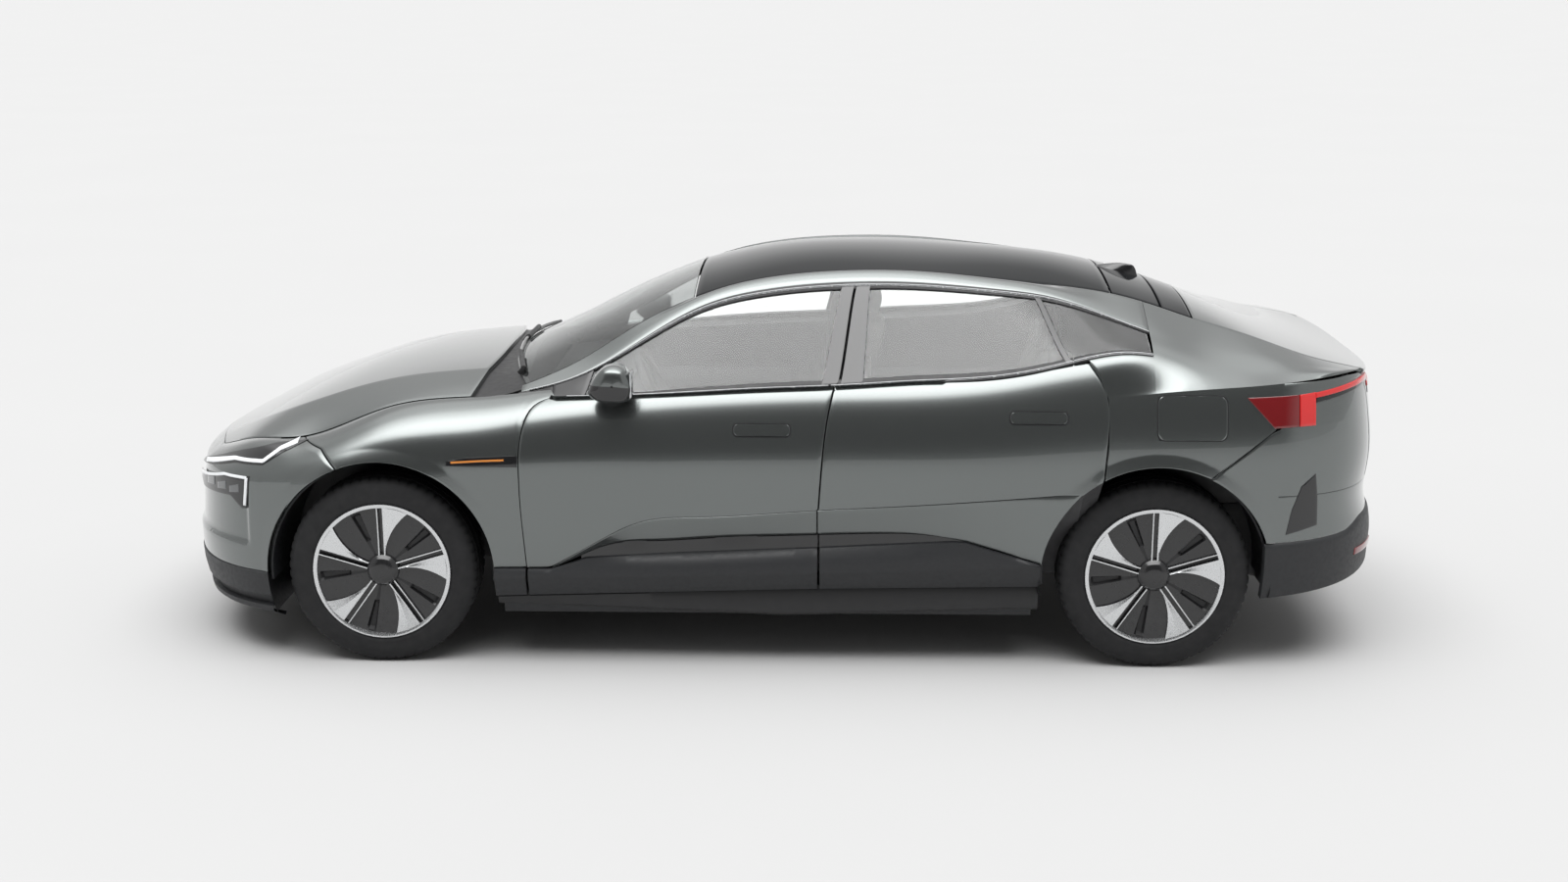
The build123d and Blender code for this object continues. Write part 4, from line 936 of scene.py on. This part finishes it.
def windscreen():
    piece = Piece("windscreen_pane", "body", "roof_glass", SCREEN_GLASS)
    r = np.linspace(-1, 1, 40)
    x = between(SCREEN_FOOT + SCREEN_SWEEP * r ** 2, SCREEN_TOP, np.linspace(0, 1, 40)[:, None])
    half, edge = np.moveaxis(upper(x), -1, 0)[:2]
    bow = np.maximum(screen_crown(np.minimum(x, SCREEN_TOP)) - edge, 0.0)
    grid = np.stack([x, r * (half - 0.004), edge + bow * (1 - r ** 2)], -1)
    piece.slab(grid, UP, 0.005)
    piece.done("windscreen")


def pane(low, high, count, t):
    """A grid of the side glass; low and high give the stations of its foot and head at its two ends."""
    s = np.linspace(0, 1, count)[:, None]
    x = between(between(low[0], high[0], s), between(low[1], high[1], s), t)
    return upper_point(x, 2 - t + 0 * x)


def side_windows(side, mirror, tag):
    """Door glass and quarter light, each set a little inside the rail and the belt."""
    for name, body, low, high, count, replaced in (
            ("window_front_", "door_f" + tag, (-0.80, -0.78), (0.182, 0.270), 50, ["glass_front_" + side]),
            ("window_rear_", "door_r" + tag, (0.340, 0.372), (1.138, 1.016), 40, ["glass_rear_" + side]),
            ("quarter_light_", "body", (1.150, 1.030), (1.448, 1.440), 20,
             [] if mirror else ["quarter_glass"])):
        piece = Piece(name + side, body, "side_glass", GLASS, mirror=mirror)
        piece.slab(pane(low, high, count, np.linspace(0, 1, 16)) + (0, 0.006, 0), OUT, 0.004)
        piece.done(*replaced)


def patch(bottom, top, lift, hint=OUT, right=None, ni=28, nj=12):
    """A cover on the flank between edges of stations and heights; its ends are straight by default."""
    left = (bottom[0], top[0])
    right = right or (bottom[-1], top[-1])
    uv = coons(resample(bottom, ni), resample(top, ni), resample(left, nj), resample(right, nj))
    return raised(flank_at(uv[..., 0], uv[..., 1]), hint, lift)


def ribbon(points, width, lift, hint=OUT):
    """A narrow strip on the flank along stations and heights."""
    path = resample(points, 40)
    ahead = unit(np.gradient(path, axis=0))
    across = np.column_stack([-ahead[:, 1], ahead[:, 0]])
    share = np.linspace(-0.5, 0.5, 4)[None, :, None]
    uv = path[:, None] + across[:, None] * (share * width)
    return raised(flank_at(uv[..., 0], uv[..., 1]), hint, lift)


def rounded(x0, z0, x1, z1, radius, lift, grow=0.0):
    """A cover on the flank with rounded corners."""
    hx, hz = (x1 - x0) / 2 + grow, (z1 - z0) / 2 + grow
    s = np.linspace(-1, 1, 28)[:, None]
    turn = np.linspace(0, math.pi / 2, 9)
    t = np.concatenate([-np.cos(turn), np.sin(turn)[1:]])
    corner = np.clip((np.abs(t) * hz - (hz - radius)) / radius, 0, 1)
    x = (x0 + x1) / 2 + s * (hx - radius * (1 - np.sqrt(1 - corner ** 2)))
    z = (z0 + z1) / 2 + t * hz + 0 * s
    return raised(flank_at(x, z), OUT, lift)


# Lower side: cladding top, its lower edge, foot of the doors, and foot of the sill, as station and height
CLAD_TOP = np.array([(-1.12, 0.392), (-0.86, 0.392), (-0.72, 0.436), (-0.237, 0.458), (0.173, 0.478),
                     (0.69, 0.507),
                     (0.743, 0.505), (1.06, 0.412)])
CLAD_LOW = np.array([(-1.12, 0.345), (0.177, 0.381), (1.06, 0.408)])
DOOR_FOOT = np.array([(-1.12, 0.270), (-0.95, 0.276), (0.177, 0.308), (1.06, 0.323)])
SILL_FOOT = np.array([(-1.12, 0.238), (0.043, 0.195), (1.06, 0.227)])


def at_station(table, x):
    return np.interp(x, table[:, 0], table[:, 1])


def stacked(x, *rows):
    """A grid of rows, each given as half width and height along the stations x."""
    return np.stack([np.stack([x, -w + 0 * x, z], -1) for w, z in rows], 1)


def low_trim(side, mirror, tag):
    """Black strip under the scoop and the grey cladding below it, cut at the shut lines."""
    start, end = SCOOP_DEPTH[0][0], SCOOP_DEPTH[-1][0]
    for name, body, low, high in (("fender", "body", -1.083, -0.957),
                                  ("door_front", "door_f" + tag, -0.951, 0.174),
                                  ("door_rear", "door_r" + tag, 0.180, 1.035)):
        piece = Piece("cladding_" + name + "_" + side, body, "dark_trim", CLADDING, GLOSS, mirror=mirror)
        x = np.linspace(low, high, 60)
        top, edge, foot = (at_station(table, x) for table in (CLAD_TOP, CLAD_LOW, DOOR_FOOT))
        inset = np.where((x > start) & (x < end), scoop_depth(np.clip(x, start, end)), 0.0)
        w_top = -flank_at(x, top)[:, 1] - inset
        ease = np.clip((top - edge) / 0.05, 0.05, 1)
        grid = stacked(x, (w_top - 0.004, top + 0.001), (w_top + 0.010 * ease, top - 0.004),
                       (np.maximum(w_top + 0.014, 0.976), top - 0.35 * (top - edge)), (0.986, edge + 0.004),
                       (0.983, edge - 0.004), (0.968, (edge + foot) / 2), (0.950, foot))
        piece.sheet(grid, (0, -1, 0), inset=0.001, depth=0.03)
        if name != "fender":
            x = np.linspace(max(low, -0.742), min(high, 0.738), 50)
            top = paint_low(x) + 0.001
            foot = at_station(CLAD_TOP, x) - 0.002
            w = -flank_at(x, top)[:, 1] - scoop_depth(x) - 0.001
            grid = stacked(x, (w, top), (w - 0.004, between(top, foot, 0.1)), (w - 0.004, foot))
            piece.grid(grid, (0, -1, 0), kind=1)
        piece.done()


def sills():
    piece = Piece("sill_cover", "body", "dark_trim", SATIN)
    x = np.linspace(-1.075, 1.030, 60)
    foot = at_station(SILL_FOOT, x)
    head = at_station(DOOR_FOOT, x) + 0.012
    grid = stacked(x, (0.930, head), (0.940, head - 0.018), (0.934, foot + 0.012), (0.922, foot),
                   (0.80, foot + 0.004))
    piece.pair(grid, (0, -1, 0), inset=0.0)
    piece.done()


def lights_front(side, mirror, tag):
    """Upper lamp along the bonnet edge and lower lamp in the nose, with their white strips."""
    ahead = (-0.6, -1, 0)
    piece = Piece("headlamp_" + side, "body", "headlamp", LAMP_CLEAR, LAMP_WHITE, GLOSS, mirror=mirror)
    for bottom, top, right in (
            ([(-2.340, 0.700), (-2.13, 0.760), (-1.992, 0.774)],
             [(-2.312, 0.728), (-2.095, 0.806), (-1.945, 0.848), (-1.822, 0.864)],
             [(-1.992, 0.774), (-1.915, 0.822), (-1.822, 0.864)]),
            ([(-2.340, 0.655), (-2.305, 0.624), (-2.14, 0.640), (-2.084, 0.597), (-2.060, 0.602)],
             [(-2.348, 0.668), (-2.168, 0.723), (-2.044, 0.730)],
             [(-2.060, 0.602), (-2.050, 0.669), (-2.044, 0.730)])):
        piece.cover(patch(bottom, top, 0.003, ahead, right), ahead, 2, 0.006)
    for path, width in (([(-2.300, 0.722), (-2.13, 0.772), (-1.990, 0.786)], 0.012),
                        ([(-1.990, 0.786), (-1.925, 0.832), (-1.862, 0.856)], 0.012),
                        ([(-2.330, 0.668), (-2.168, 0.716), (-2.056, 0.722)], 0.011),
                        ([(-2.056, 0.722), (-2.061, 0.669), (-2.068, 0.612)], 0.012)):
        piece.cover(ribbon(path, width, 0.006, ahead), ahead, 1, 0.004)
    for low in (-2.270, -2.205, -2.140):
        high = low + 0.048
        lens = patch([(low, 0.652), (high, 0.660)], [(low, 0.678), (high, 0.694)], 0.005, ahead, ni=8, nj=6)
        piece.cover(lens, ahead, 0, 0.004)
    piece.done(*([] if mirror else ["headlamps"]))


def lights_rear(side, mirror, tag):
    """Wrap-round tail lamp with an upright bar, and the strip from it towards the lid."""
    behind = (0.5, -1, 0)
    piece = Piece("tail_lamp_" + side, "body", "tail_lamp", LAMP_RED, LAMP_BAR, GLOSS, mirror=mirror)
    for bottom, top, lift, kind, depth in (
            ([(1.905, 0.962), (2.000, 0.966)], [(1.800, 1.076), (2.000, 1.084)], 0.004, 0, 0.008),
            ([(2.002, 0.966), (2.066, 0.968)], [(2.002, 1.084), (2.066, 1.090)], 0.006, 1, 0.010),
            ([(2.068, 1.050), (2.300, 1.082)], [(2.068, 1.084), (2.300, 1.108)], 0.003, 2, 0.008)):
        piece.cover(patch(bottom, top, lift, behind), behind, kind, depth)
    bar = ribbon([(2.064, 1.078), (2.20, 1.094), (2.315, 1.104)], 0.020, 0.008, behind)
    piece.cover(bar, behind, 1, 0.008)
    piece.done(*([] if mirror else ["tail_lamps"]))


def light_bar():
    """The red bar across the lid, under its lip."""
    piece = Piece("tail_bar", "tailgate", "tail_lamp", LAMP_BAR, GLOSS)
    for low, high, lift, kind in ((1.030, 1.082, 0.002, 1), (1.058, 1.078, 0.005, 0)):
        strip = over(tail_point, np.linspace(-0.60, 0.60, 60), np.linspace(low, high, 5))
        piece.cover(strip + (lift, 0, 0), (1, 0, 0), kind, 0.01)
    piece.done()


def seal(piece, x, low, high, bright, depth):
    """A black band along the side glass, with a bright line on it."""
    band = over(upper_point, x, np.linspace(low, high, 4))
    piece.cover(raised(band, OUT, 0.001), OUT, depth=depth)
    piece.tube(upper_point(x, np.full_like(x, bright)) + (0, -0.002, 0.001), 0.0045, 8, kind=1)


def window_trim(side, mirror, tag):
    """Bright line and black seal under the rail, sail and pillar covers, and the strip along the belt."""
    rail = Piece("rail_trim_" + side, "body", "dark_trim", SATIN, BRIGHT, mirror=mirror)
    belt_band = (1.88, 2.0, 1.955)
    seal(rail, np.linspace(-0.955, 1.452, 100), 0.99, 1.10, 1.05, 0.012)
    seal(rail, np.linspace(1.150, 1.452, 20), *belt_band, 0.012)
    rail.cover(over(upper_point, np.linspace(-1.0, -0.862, 10), np.linspace(1.0, 2.0, 8)), OUT)
    rail.done()
    for name, body, low, high, covers in (
            ("front", "door_f" + tag, -0.80, 0.212,
             (((-0.862, -0.862), (-0.735, -0.700)), ((0.178, 0.268), (0.246, 0.316)))),
            ("rear", "door_r" + tag, 0.222, 1.145,
             (((0.254, 0.324), (0.344, 0.376)), ((1.126, 1.004), (1.150, 1.028))))):
        piece = Piece("belt_trim_" + name + "_" + side, body, "dark_trim", SATIN, BRIGHT, GLOSS,
                      mirror=mirror)
        seal(piece, np.linspace(low, high, 50), *belt_band, 0.014)
        for first, last in covers:
            cover = pane(first, last, 8, np.linspace(0.02, 0.985, 14))
            piece.cover(raised(cover, OUT, 0.0015), OUT, 2, 0.01)
        piece.done()


def door_details(side, mirror, tag):
    """Flush handles over dark sheets of painted gap shade, and the blade behind the front arch."""
    for name, body, corners in (("front", "door_f" + tag, (-0.149, 0.922, 0.067, 0.966)),
                                ("rear", "door_r" + tag, (0.906, 0.974, 1.122, 1.018))):
        piece = Piece("handle_" + name + "_" + side, body, "body_paint", PAINT, SATIN, mirror=mirror)
        # A flat dark satin sheet 4.5 mm larger than the handle, lying on the skin: painted shade of the gap
        # round the handle
        piece.grid(rounded(*corners, 0.018, 0.0008, 0.0045), OUT, kind=1)
        piece.cover(rounded(*corners, 0.018, 0.003), OUT, depth=0.004)
        piece.done()
    blade = Piece("blade_" + side, "body", "dark_trim", GLOSS, AMBER, mirror=mirror)
    blade.cover(patch([(-1.255, 0.800), (-1.15, 0.797), (-0.980, 0.798)],
                      [(-1.255, 0.818), (-1.178, 0.832), (-0.980, 0.842)], 0.004), OUT, depth=0.006)
    blade.cover(ribbon([(-1.235, 0.813), (-1.12, 0.820), (-1.03, 0.824)], 0.008, 0.007), OUT, 1, 0.004)
    blade.done()


def charge_door():
    """The charge flap on the left quarter, and the dark ring it closes on: a well behind it, and a band on
    the paint round it that is painted shade of its gap.
    """
    flap = Piece("charge_flap_skin", "charge_flap", "body_paint", PAINT)
    flap.sheet(rounded(*FLAP, 0.030, 0.0012), OUT, inset=0.0015, depth=0.008)
    flap.done("charge_flap")
    ring = Piece("charge_ring", "body", "dark_trim", SATIN)
    # Dark ring: the deep loops form the real well behind the flap; the band just above the skin, 2.5 mm
    # beyond the flap, is painted shade of the gap
    steps = ((-0.002, 0.003), (0.0005, 0.0025), (0.0005, -0.006), (-0.022, -0.030))
    loops = [rim_of(rounded(*FLAP, 0.030, lift, grow)) for lift, grow in steps]
    ring.grid(np.stack(loops, 1), OUT, around=True)
    ring.done()


def mirrors(side, mirror, tag):
    """Painted cap over a black housing, on a short arm from the sail."""
    piece = Piece("mirror_skin_" + side, "door_f" + tag, "body_paint", PAINT, GLOSS, BRIGHT, mirror=mirror)
    outline = [(-0.702, 1.092), (-0.678, 1.150), (-0.640, 1.190), (-0.600, 1.200), (-0.556, 1.184),
               (-0.535, 1.150),
               (-0.530, 1.090), (-0.545, 1.064), (-0.600, 1.056), (-0.670, 1.064)]
    loop = smooth(outline + outline[:1], 41)[:-1]
    middle = np.array((-0.602, 1.128))
    stations = ((0.905, 0.30), (0.908, 0.62), (0.920, 0.86), (0.945, 0.97), (0.985, 1.0), (1.020, 0.98),
                (1.042, 0.90),
                (1.055, 0.74), (1.061, 0.45), (1.063, 0.05))
    grid = np.stack([np.insert(middle + (loop - middle) * k, 1, -w, axis=1) for w, k in stations], 1)
    cap = loop[:, 1] > 1.122
    count = len(loop)
    for kind, keep in ((0, cap), (1, ~cap)):
        index = np.flatnonzero(keep)
        start = next(i for i in index if not keep[i - 1])
        run = [(start + k) % count for k in range(len(index) + 1)]
        piece.grid(grid[run], (0, -0.3, 1 if kind == 0 else -1), kind=kind)
    arm = [(-0.640, -0.850, 1.046), (-0.630, -0.900, 1.060), (-0.615, -0.940, 1.078)]
    piece.tube(smooth(arm, 8), 0.020, 14, kind=1, flat=1.6)
    y, z = np.meshgrid(np.linspace(-1.040, -0.930, 10), np.linspace(1.080, 1.172, 8), indexing="ij")
    piece.cover(np.stack([np.full_like(y, -0.531), y, z], -1), (1, 0, 0), 2, 0.006)
    piece.done("mirror_" + side)


# Rim: number of spokes and radius at which its petals end. Tyre: outer grooves, as a share of its half width
SPOKES = 5
PETAL_END = 0.255
GROOVE_SHARE = 0.48


def wheels():
    """Rims with grooved petals, brake discs behind them, and treaded tyres."""
    for name in ("front_left", "front_right", "rear_left", "rear_right"):
        end, side = name.split("_")
        body = "wheel_" + end[0] + side[0]
        mirror = side == "right"
        low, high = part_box("tyre_" + name)
        centre = np.array([(low.x + high.x) / 2, -abs((low.y + high.y) / 2), (low.z + high.z) / 2])
        half = (high.y - low.y) / 2
        radius = (high.z - low.z) / 2
        rim_face(name, body, centre, half, mirror)
        tread(name, body, centre, half, radius, mirror)


def rim_face(name, body, centre, half, mirror):
    rim = Piece("rim_" + name + "_face", body, "rim_metal", BLACK_ALLOY, ALLOY, STEEL, SATIN, mirror=mirror)
    r = np.concatenate([[0.060, 0.075], np.linspace(0.095, PETAL_END, 17)])
    groove = np.degrees(np.arcsin(0.0085 / r))
    edge = np.degrees(np.arcsin(0.0135 / r))
    petal = edge + 1.0 + 21.0 * np.clip((r - 0.085) / 0.17, 0, 1)
    flat = 0 * r
    ground = 0.011 + flat
    deep = 0.020 + flat
    slot = np.where((r > 0.130) & (r < 0.240), 0.026, 0.011)
    step = 0.25
    # stations round one spoke: angle, depth, finish of the strip after it
    stations = [(flat - 36, ground, 0), ((-36 - petal) / 2, ground, 0), (-petal - step, ground, 0),
                (-petal, flat, 1), ((-petal - edge) / 2, flat - 0.002, 1), (-edge, flat, 1),
                (-groove - step, flat, 1), (-groove, deep, 0), (groove, deep, 0), (groove + step, flat, 1),
                (edge, flat, 1), (edge + step, ground, 0), (flat + 19, ground, 0), (flat + 21, slot, 3),
                (flat + 26, slot, 3), (flat + 28, ground, 0), (flat + 36, ground, 0)]
    face = -half + 0.004
    dish = 0.016 * (1 - (r / PETAL_END) ** 2)
    for k in range(SPOKES):
        for first, second in zip(stations, stations[1:]):
            rows = [round_axis(centre, np.radians(angle + 90 + 360 / SPOKES * k), r, face + depth + dish)
                    for angle, depth, _ in (first, second)]
            rim.grid(np.stack(rows, 0), (0, -1, 0), kind=first[2])
    rim.spun([(0.252, face + 0.014), (0.254, face), (0.262, face - 0.003), (0.268, face - 0.003),
              (0.271, face + 0.006), (0.264, face + 0.020), (0.250, face + 0.060), (0.246, half - 0.05),
              (0.262, half - 0.012), (0.270, half - 0.006)], centre, 120, kind=1)
    rim.spun([(0.0005, face - 0.004), (0.030, face - 0.003), (0.046, face + 0.001), (0.052, face + 0.006),
              (0.062, face + 0.016)], centre, 60, kind=0)
    rim.spun([(0.050, face + 0.055), (0.185, face + 0.055), (0.187, face + 0.058), (0.187, face + 0.083),
              (0.185, face + 0.086), (0.050, face + 0.086)], centre, 90, kind=2)
    rim.spun([(0.060, face + 0.016), (0.075, face + 0.050), (0.085, half - 0.06)], centre, 60, kind=3)
    rim.done("rim_" + name, sharp=28.0)


def tread(name, body, centre, half, radius, mirror):
    tyre = Piece("tyre_" + name + "_tread", body, "tyre_rubber", RUBBER, mirror=mirror)
    wall = [(0.268, -half + 0.012), (0.276, -half + 0.004), (0.286, -half + 0.0015), (0.292, -half + 0.003),
            (0.308, -half), (0.326, -half + 0.003), (radius - 0.022, -half + 0.010),
            (radius - 0.008, -half + 0.022), (radius - 0.002, -half + 0.034)]
    crown = [(radius, -half + 0.048)]
    outer = GROOVE_SHARE * half
    for y in (-outer, 0.0, outer):
        crown += [(radius, y - 0.006), (radius - 0.007, y - 0.004), (radius - 0.007, y + 0.004),
                  (radius, y + 0.006)]
    crown += [(radius, half - 0.048)]
    profile = np.array(wall + crown + [(a, -b) for a, b in wall[::-1]])
    turn = np.linspace(0, 2 * math.pi, 240, endpoint=False)[:, None]
    block = np.where(np.arange(240) % 4 == 0, 1.0, 0.0)[:, None]
    shoulder = (profile[:, 0] > radius - 0.009) & (np.abs(profile[:, 1]) > outer + 0.005)
    reach = profile[:, 0] - block * np.where(shoulder, 0.005, 0.0)
    tyre.grid(round_axis(centre, turn, reach, profile[:, 1])[::-1], around=True)
    tyre.done("tyre_" + name, sharp=40.0)


def cowl():
    """Dark cover between bonnet and windscreen with two wipers lying on it."""
    piece = Piece("cowl_cover", "body", "dark_trim", SATIN, GLOSS)
    r = np.linspace(-1, 1, 48)
    front = bonnet_point(bonnet_rear(r) - 0.003, r * 0.985) + (0, 0, -0.018)
    x = SCREEN_FOOT + 0.005 + SCREEN_SWEEP * r ** 2
    half, edge = upper(x).T[:2]
    bow = np.maximum(screen_crown(x) - edge, 0.0)
    back = np.column_stack([x + 0.02, r * (half + 0.01), edge + bow * (1 - r ** 2) - 0.006])
    t = np.linspace(0, 1, 10)[:, None, None]
    piece.cover(between(front, back, t) - np.sin(t * math.pi) * (0, 0, 0.012), UP)
    for first, last in ((0.06, 0.80), (-0.78, 0.02)):
        want = np.linspace(first, last, 20)
        low = np.stack([np.interp(want, r, column) for column in back.T], -1)
        piece.tube(low + (-0.012, 0, 0.020), 0.009, 8, kind=1, flat=0.7)
        arm = [low[0] + (-0.03, 0, 0.0), low[0] + (-0.012, 0, 0.022), low[8] + (-0.014, 0, 0.030)]
        piece.tube(arm, 0.011, 8)
    piece.done()


def fin():
    """The aerial fin on the roof's rear panel."""
    piece = Piece("roof_fin", "body", "dark_trim", GLOSS)
    x = np.linspace(1.300, 1.500, 24)[:, None]
    share = np.linspace(0, 1, 24)[:, None]
    rise = 0.046 * np.sin(np.clip(share * 1.12, 0, 1) * math.pi / 2) ** 1.3
    rise = rise * np.where(share > 0.9, (1 - share) / 0.1, 1) ** 0.5
    width = 0.026 * np.sin(math.pi * (0.12 + 0.83 * share)) ** 0.8
    turn = np.linspace(0, math.pi, 13)
    grid = np.stack([x + 0 * turn, np.cos(turn) * width * (1 - 0.55 * np.sin(turn)),
                     roof_crown(x) - 0.004 + rise * np.sin(turn)], -1)
    piece.grid(grid, UP)
    piece.done()


def liners():
    """Dark inner walls of the four arches."""
    piece = Piece("arch_liners", "body", "dark_trim", SATIN)
    radius = np.array((0.446, 0.4475, 0.456, 0.458, 0.456, 0.10))
    for axle, inner, low, high in ((FRONT_AXLE, 0.505, -10, 202), (REAR_AXLE, 0.632, -11, 190)):
        turn = np.radians(np.linspace(low, high, 60))[:, None]
        across = np.array((0.966, 0.955, 0.930, 0.80, inner, inner))
        grid = round_axis((axle, 0, AXLE_Z), turn, radius, -across)
        for flip in (1, -1):
            piece.grid(grid * (1, flip, 1), (0, 0, -1))
    piece.done()


def pillow(piece, centre, half, lean=0.0, square=0.45):
    """A stuffed block with rounded sides, leant back by an angle in degrees."""
    u = np.linspace(-math.pi / 2, math.pi / 2, 17)
    v = np.linspace(0, 2 * math.pi, 36, endpoint=False)[:, None]

    def bend(value):
        return np.sign(value) * np.abs(value) ** square

    x = half[0] * bend(np.cos(u)) * bend(np.cos(v))
    y = half[1] * bend(np.cos(u)) * bend(np.sin(v))
    z = half[2] * bend(np.sin(u)) + 0 * v
    z = z * (1 - 0.05 * np.exp(-(y / half[1] / 0.06) ** 2) * (np.abs(z) > 0.6 * half[2]))
    turn = math.radians(lean)
    grid = np.stack([centre[0] + x * math.cos(turn) + z * math.sin(turn), centre[1] + y,
                     centre[2] - x * math.sin(turn) + z * math.cos(turn)], -1)
    piece.grid(grid, around=True)


def seats():
    """Front seats and rear bench, stuffed, on plain bases."""
    base = Piece("seat_bases", "body", "fascia_trim", TRIM)
    front = Piece("front_seat_cushions", "body", "seat_fabric", LEATHER)
    for y in (-0.375, 0.375):
        pillow(front, (-0.105, y, 0.575), (0.255, 0.150, 0.080), -6)
        for side in (-1, 1):
            pillow(front, (-0.105, y + side * 0.185, 0.595), (0.250, 0.055, 0.085), -6)
            pillow(front, (0.255, y + side * 0.190, 0.860), (0.075, 0.050, 0.250), 20)
        pillow(front, (0.250, y, 0.860), (0.065, 0.155, 0.290), 20)
        pillow(front, (0.380, y, 1.215), (0.050, 0.130, 0.080), 12)
        pillow(base, (-0.090, y, 0.420), (0.240, 0.200, 0.090), 0, 0.25)
        for side in (-1, 1):
            base.tube([(0.330, y + side * 0.05, 1.06), (0.372, y + side * 0.05, 1.19)], 0.008, 10)
    front.done("front_seats")
    rear = Piece("rear_bench_cushions", "body", "seat_fabric", LEATHER)
    for y in (-0.42, 0.0, 0.42):
        pillow(rear, (0.810, y, 0.520), (0.255, 0.212, 0.085), -6)
        pillow(rear, (1.095, y, 0.800), (0.075, 0.210, 0.270), 18)
    for y in (-0.40, 0.40):
        pillow(rear, (1.150, y, 1.085), (0.048, 0.130, 0.058), 10)
    pillow(base, (0.830, 0.0, 0.390), (0.270, 0.620, 0.062), 0, 0.25)
    rear.done("rear_bench")
    base.done()


# Camera: lens and sensor in mm, turn and rise in degrees, distance, and the point it looks at
LENS = 50.0
SENSOR = 36.0
CAMERA_TURN = 1.492
CAMERA_RISE = 12.498
CAMERA_DISTANCE = 9.315
CAMERA_TARGET = (0.019, 0.0, 0.687)


def cameras():
    """The view from the left side, a little above."""
    lens = bpy.data.cameras.new("camera")
    lens.lens = LENS
    lens.sensor_width = SENSOR
    camera = bpy.data.objects.new("camera", lens)
    bpy.context.scene.collection.objects.link(camera)
    turn, rise = math.radians(CAMERA_TURN), math.radians(CAMERA_RISE)
    back = Vector((math.sin(turn) * math.cos(rise), -math.cos(turn) * math.cos(rise), math.sin(rise)))
    camera.location = Vector(CAMERA_TARGET) + back * CAMERA_DISTANCE
    camera.rotation_euler = (-back).to_track_quat("-Z", "Y").to_euler()
    bpy.context.scene.camera = camera


# Floor and light: the floor's grey and its half size, and the sky's strength
FLOOR_COLOUR = (0.50, 0.50, 0.50)
FLOOR_HALF = 400.0
SKY_STRENGTH = 6.0
# Sky brightness by the sine of the elevation, on the camera's side and on the far side
NEAR_SKY = ((0.0, 0.022), (0.60, 0.025), (0.74, 0.05), (0.82, 0.85), (0.96, 1.0), (1.0, 0.6))
FAR_SKY = ((0.0, 0.16), (0.20, 0.14), (0.36, 0.09), (0.60, 0.12), (0.74, 0.24), (0.86, 0.28), (0.96, 0.40),
           (1.0, 0.6))
# How far to the sides the overhead panel reaches, and how bright the sky is beyond it
PANEL_REACH = 0.62
PANEL_BEYOND = 0.10
# Widths over which the panel's end and the two sides of the sky fade
PANEL_FADE = 0.12
SIDE_FADE = 0.25


def stage():
    """Pale floor, soft panels high on both sides, and a dim band behind the camera."""
    size = FLOOR_HALF
    floor = bpy.data.meshes.new("floor")
    floor.from_pydata([(-size, -size, 0), (size, -size, 0), (size, size, 0), (-size, size, 0)], [],
                      [(0, 1, 2, 3)])
    made = bpy.data.objects.new("floor", floor)
    bpy.context.scene.collection.objects.link(made)
    finish = vary(material("floor_finish", FLOOR_COLOUR, 0.9, Specular_IOR_Level=0.0), 0.5, FLOOR_COLOUR,
                  tuple(c * 1.01 for c in FLOOR_COLOUR), "Base Color")
    floor.materials.append(finish)
    world = bpy.data.worlds.new("studio")
    bpy.context.scene.world = world
    world.use_nodes = True
    world.node_tree.nodes.clear()
    out = node(world, "ShaderNodeOutputWorld")
    sky = node(world, "ShaderNodeBackground", Strength=SKY_STRENGTH)
    split = node(world, "ShaderNodeSeparateXYZ")
    link(world, node(world, "ShaderNodeTexCoord"), "Generated", split, "Vector")
    side = node(world, "ShaderNodeMapRange", **{"From Min": -SIDE_FADE, "From Max": SIDE_FADE})
    link(world, split, "Y", side, "Value")
    mix = node(world, "ShaderNodeMixRGB")
    link(world, side, "Result", mix, "Fac")
    for stops, socket in ((NEAR_SKY, "Color1"), (FAR_SKY, "Color2")):
        levels = ramp(world, stops)
        link(world, split, "Z", levels, "Fac")
        link(world, levels, "Color", mix, socket)
    length = node(world, "ShaderNodeMath", operation="ABSOLUTE")
    link(world, split, "X", length, 0)
    beyond = node(world, "ShaderNodeMapRange",
                  **{"From Min": PANEL_REACH - PANEL_FADE, "From Max": PANEL_REACH})
    link(world, length, "Value", beyond, "Value")
    limit = node(world, "ShaderNodeMixRGB", Color2=(PANEL_BEYOND, PANEL_BEYOND, PANEL_BEYOND, 1))
    link(world, beyond, "Result", limit, "Fac")
    link(world, mix, "Color", limit, "Color1")
    link(world, limit, "Color", sky, "Color")
    link(world, sky, "Background", out, "Surface")


bpy.context.scene.view_settings.view_transform = "Standard"
cameras()
stage()
for which in SIDES:
    for build in (fender, doors, quarter, side_windows, window_trim, low_trim, door_details, mirrors,
                  lights_front, lights_rear):
        build(*which)
for build in (charge_door, sills, liners, cowl, fin, seats, wheels, bonnet, front_bumper, front_skirt,
              rear_bumper,
              rear_trim, light_bar, tailgate, roof, windscreen):
    build()
wear("floor_pan", "front_pillars", "middle_pillars", "roof_headers", "front_frame", "battery_pack",
     finish=CASE)
wear("front_axle", "rear_axle", "knuckle_front_left", "knuckle_front_right", "drive_motors", finish=STEEL)
wear("wheel_liners", "cowl", "charge_socket", "sills", finish=CLADDING)
wear("fascia", "steering_wheel", finish=TRIM)
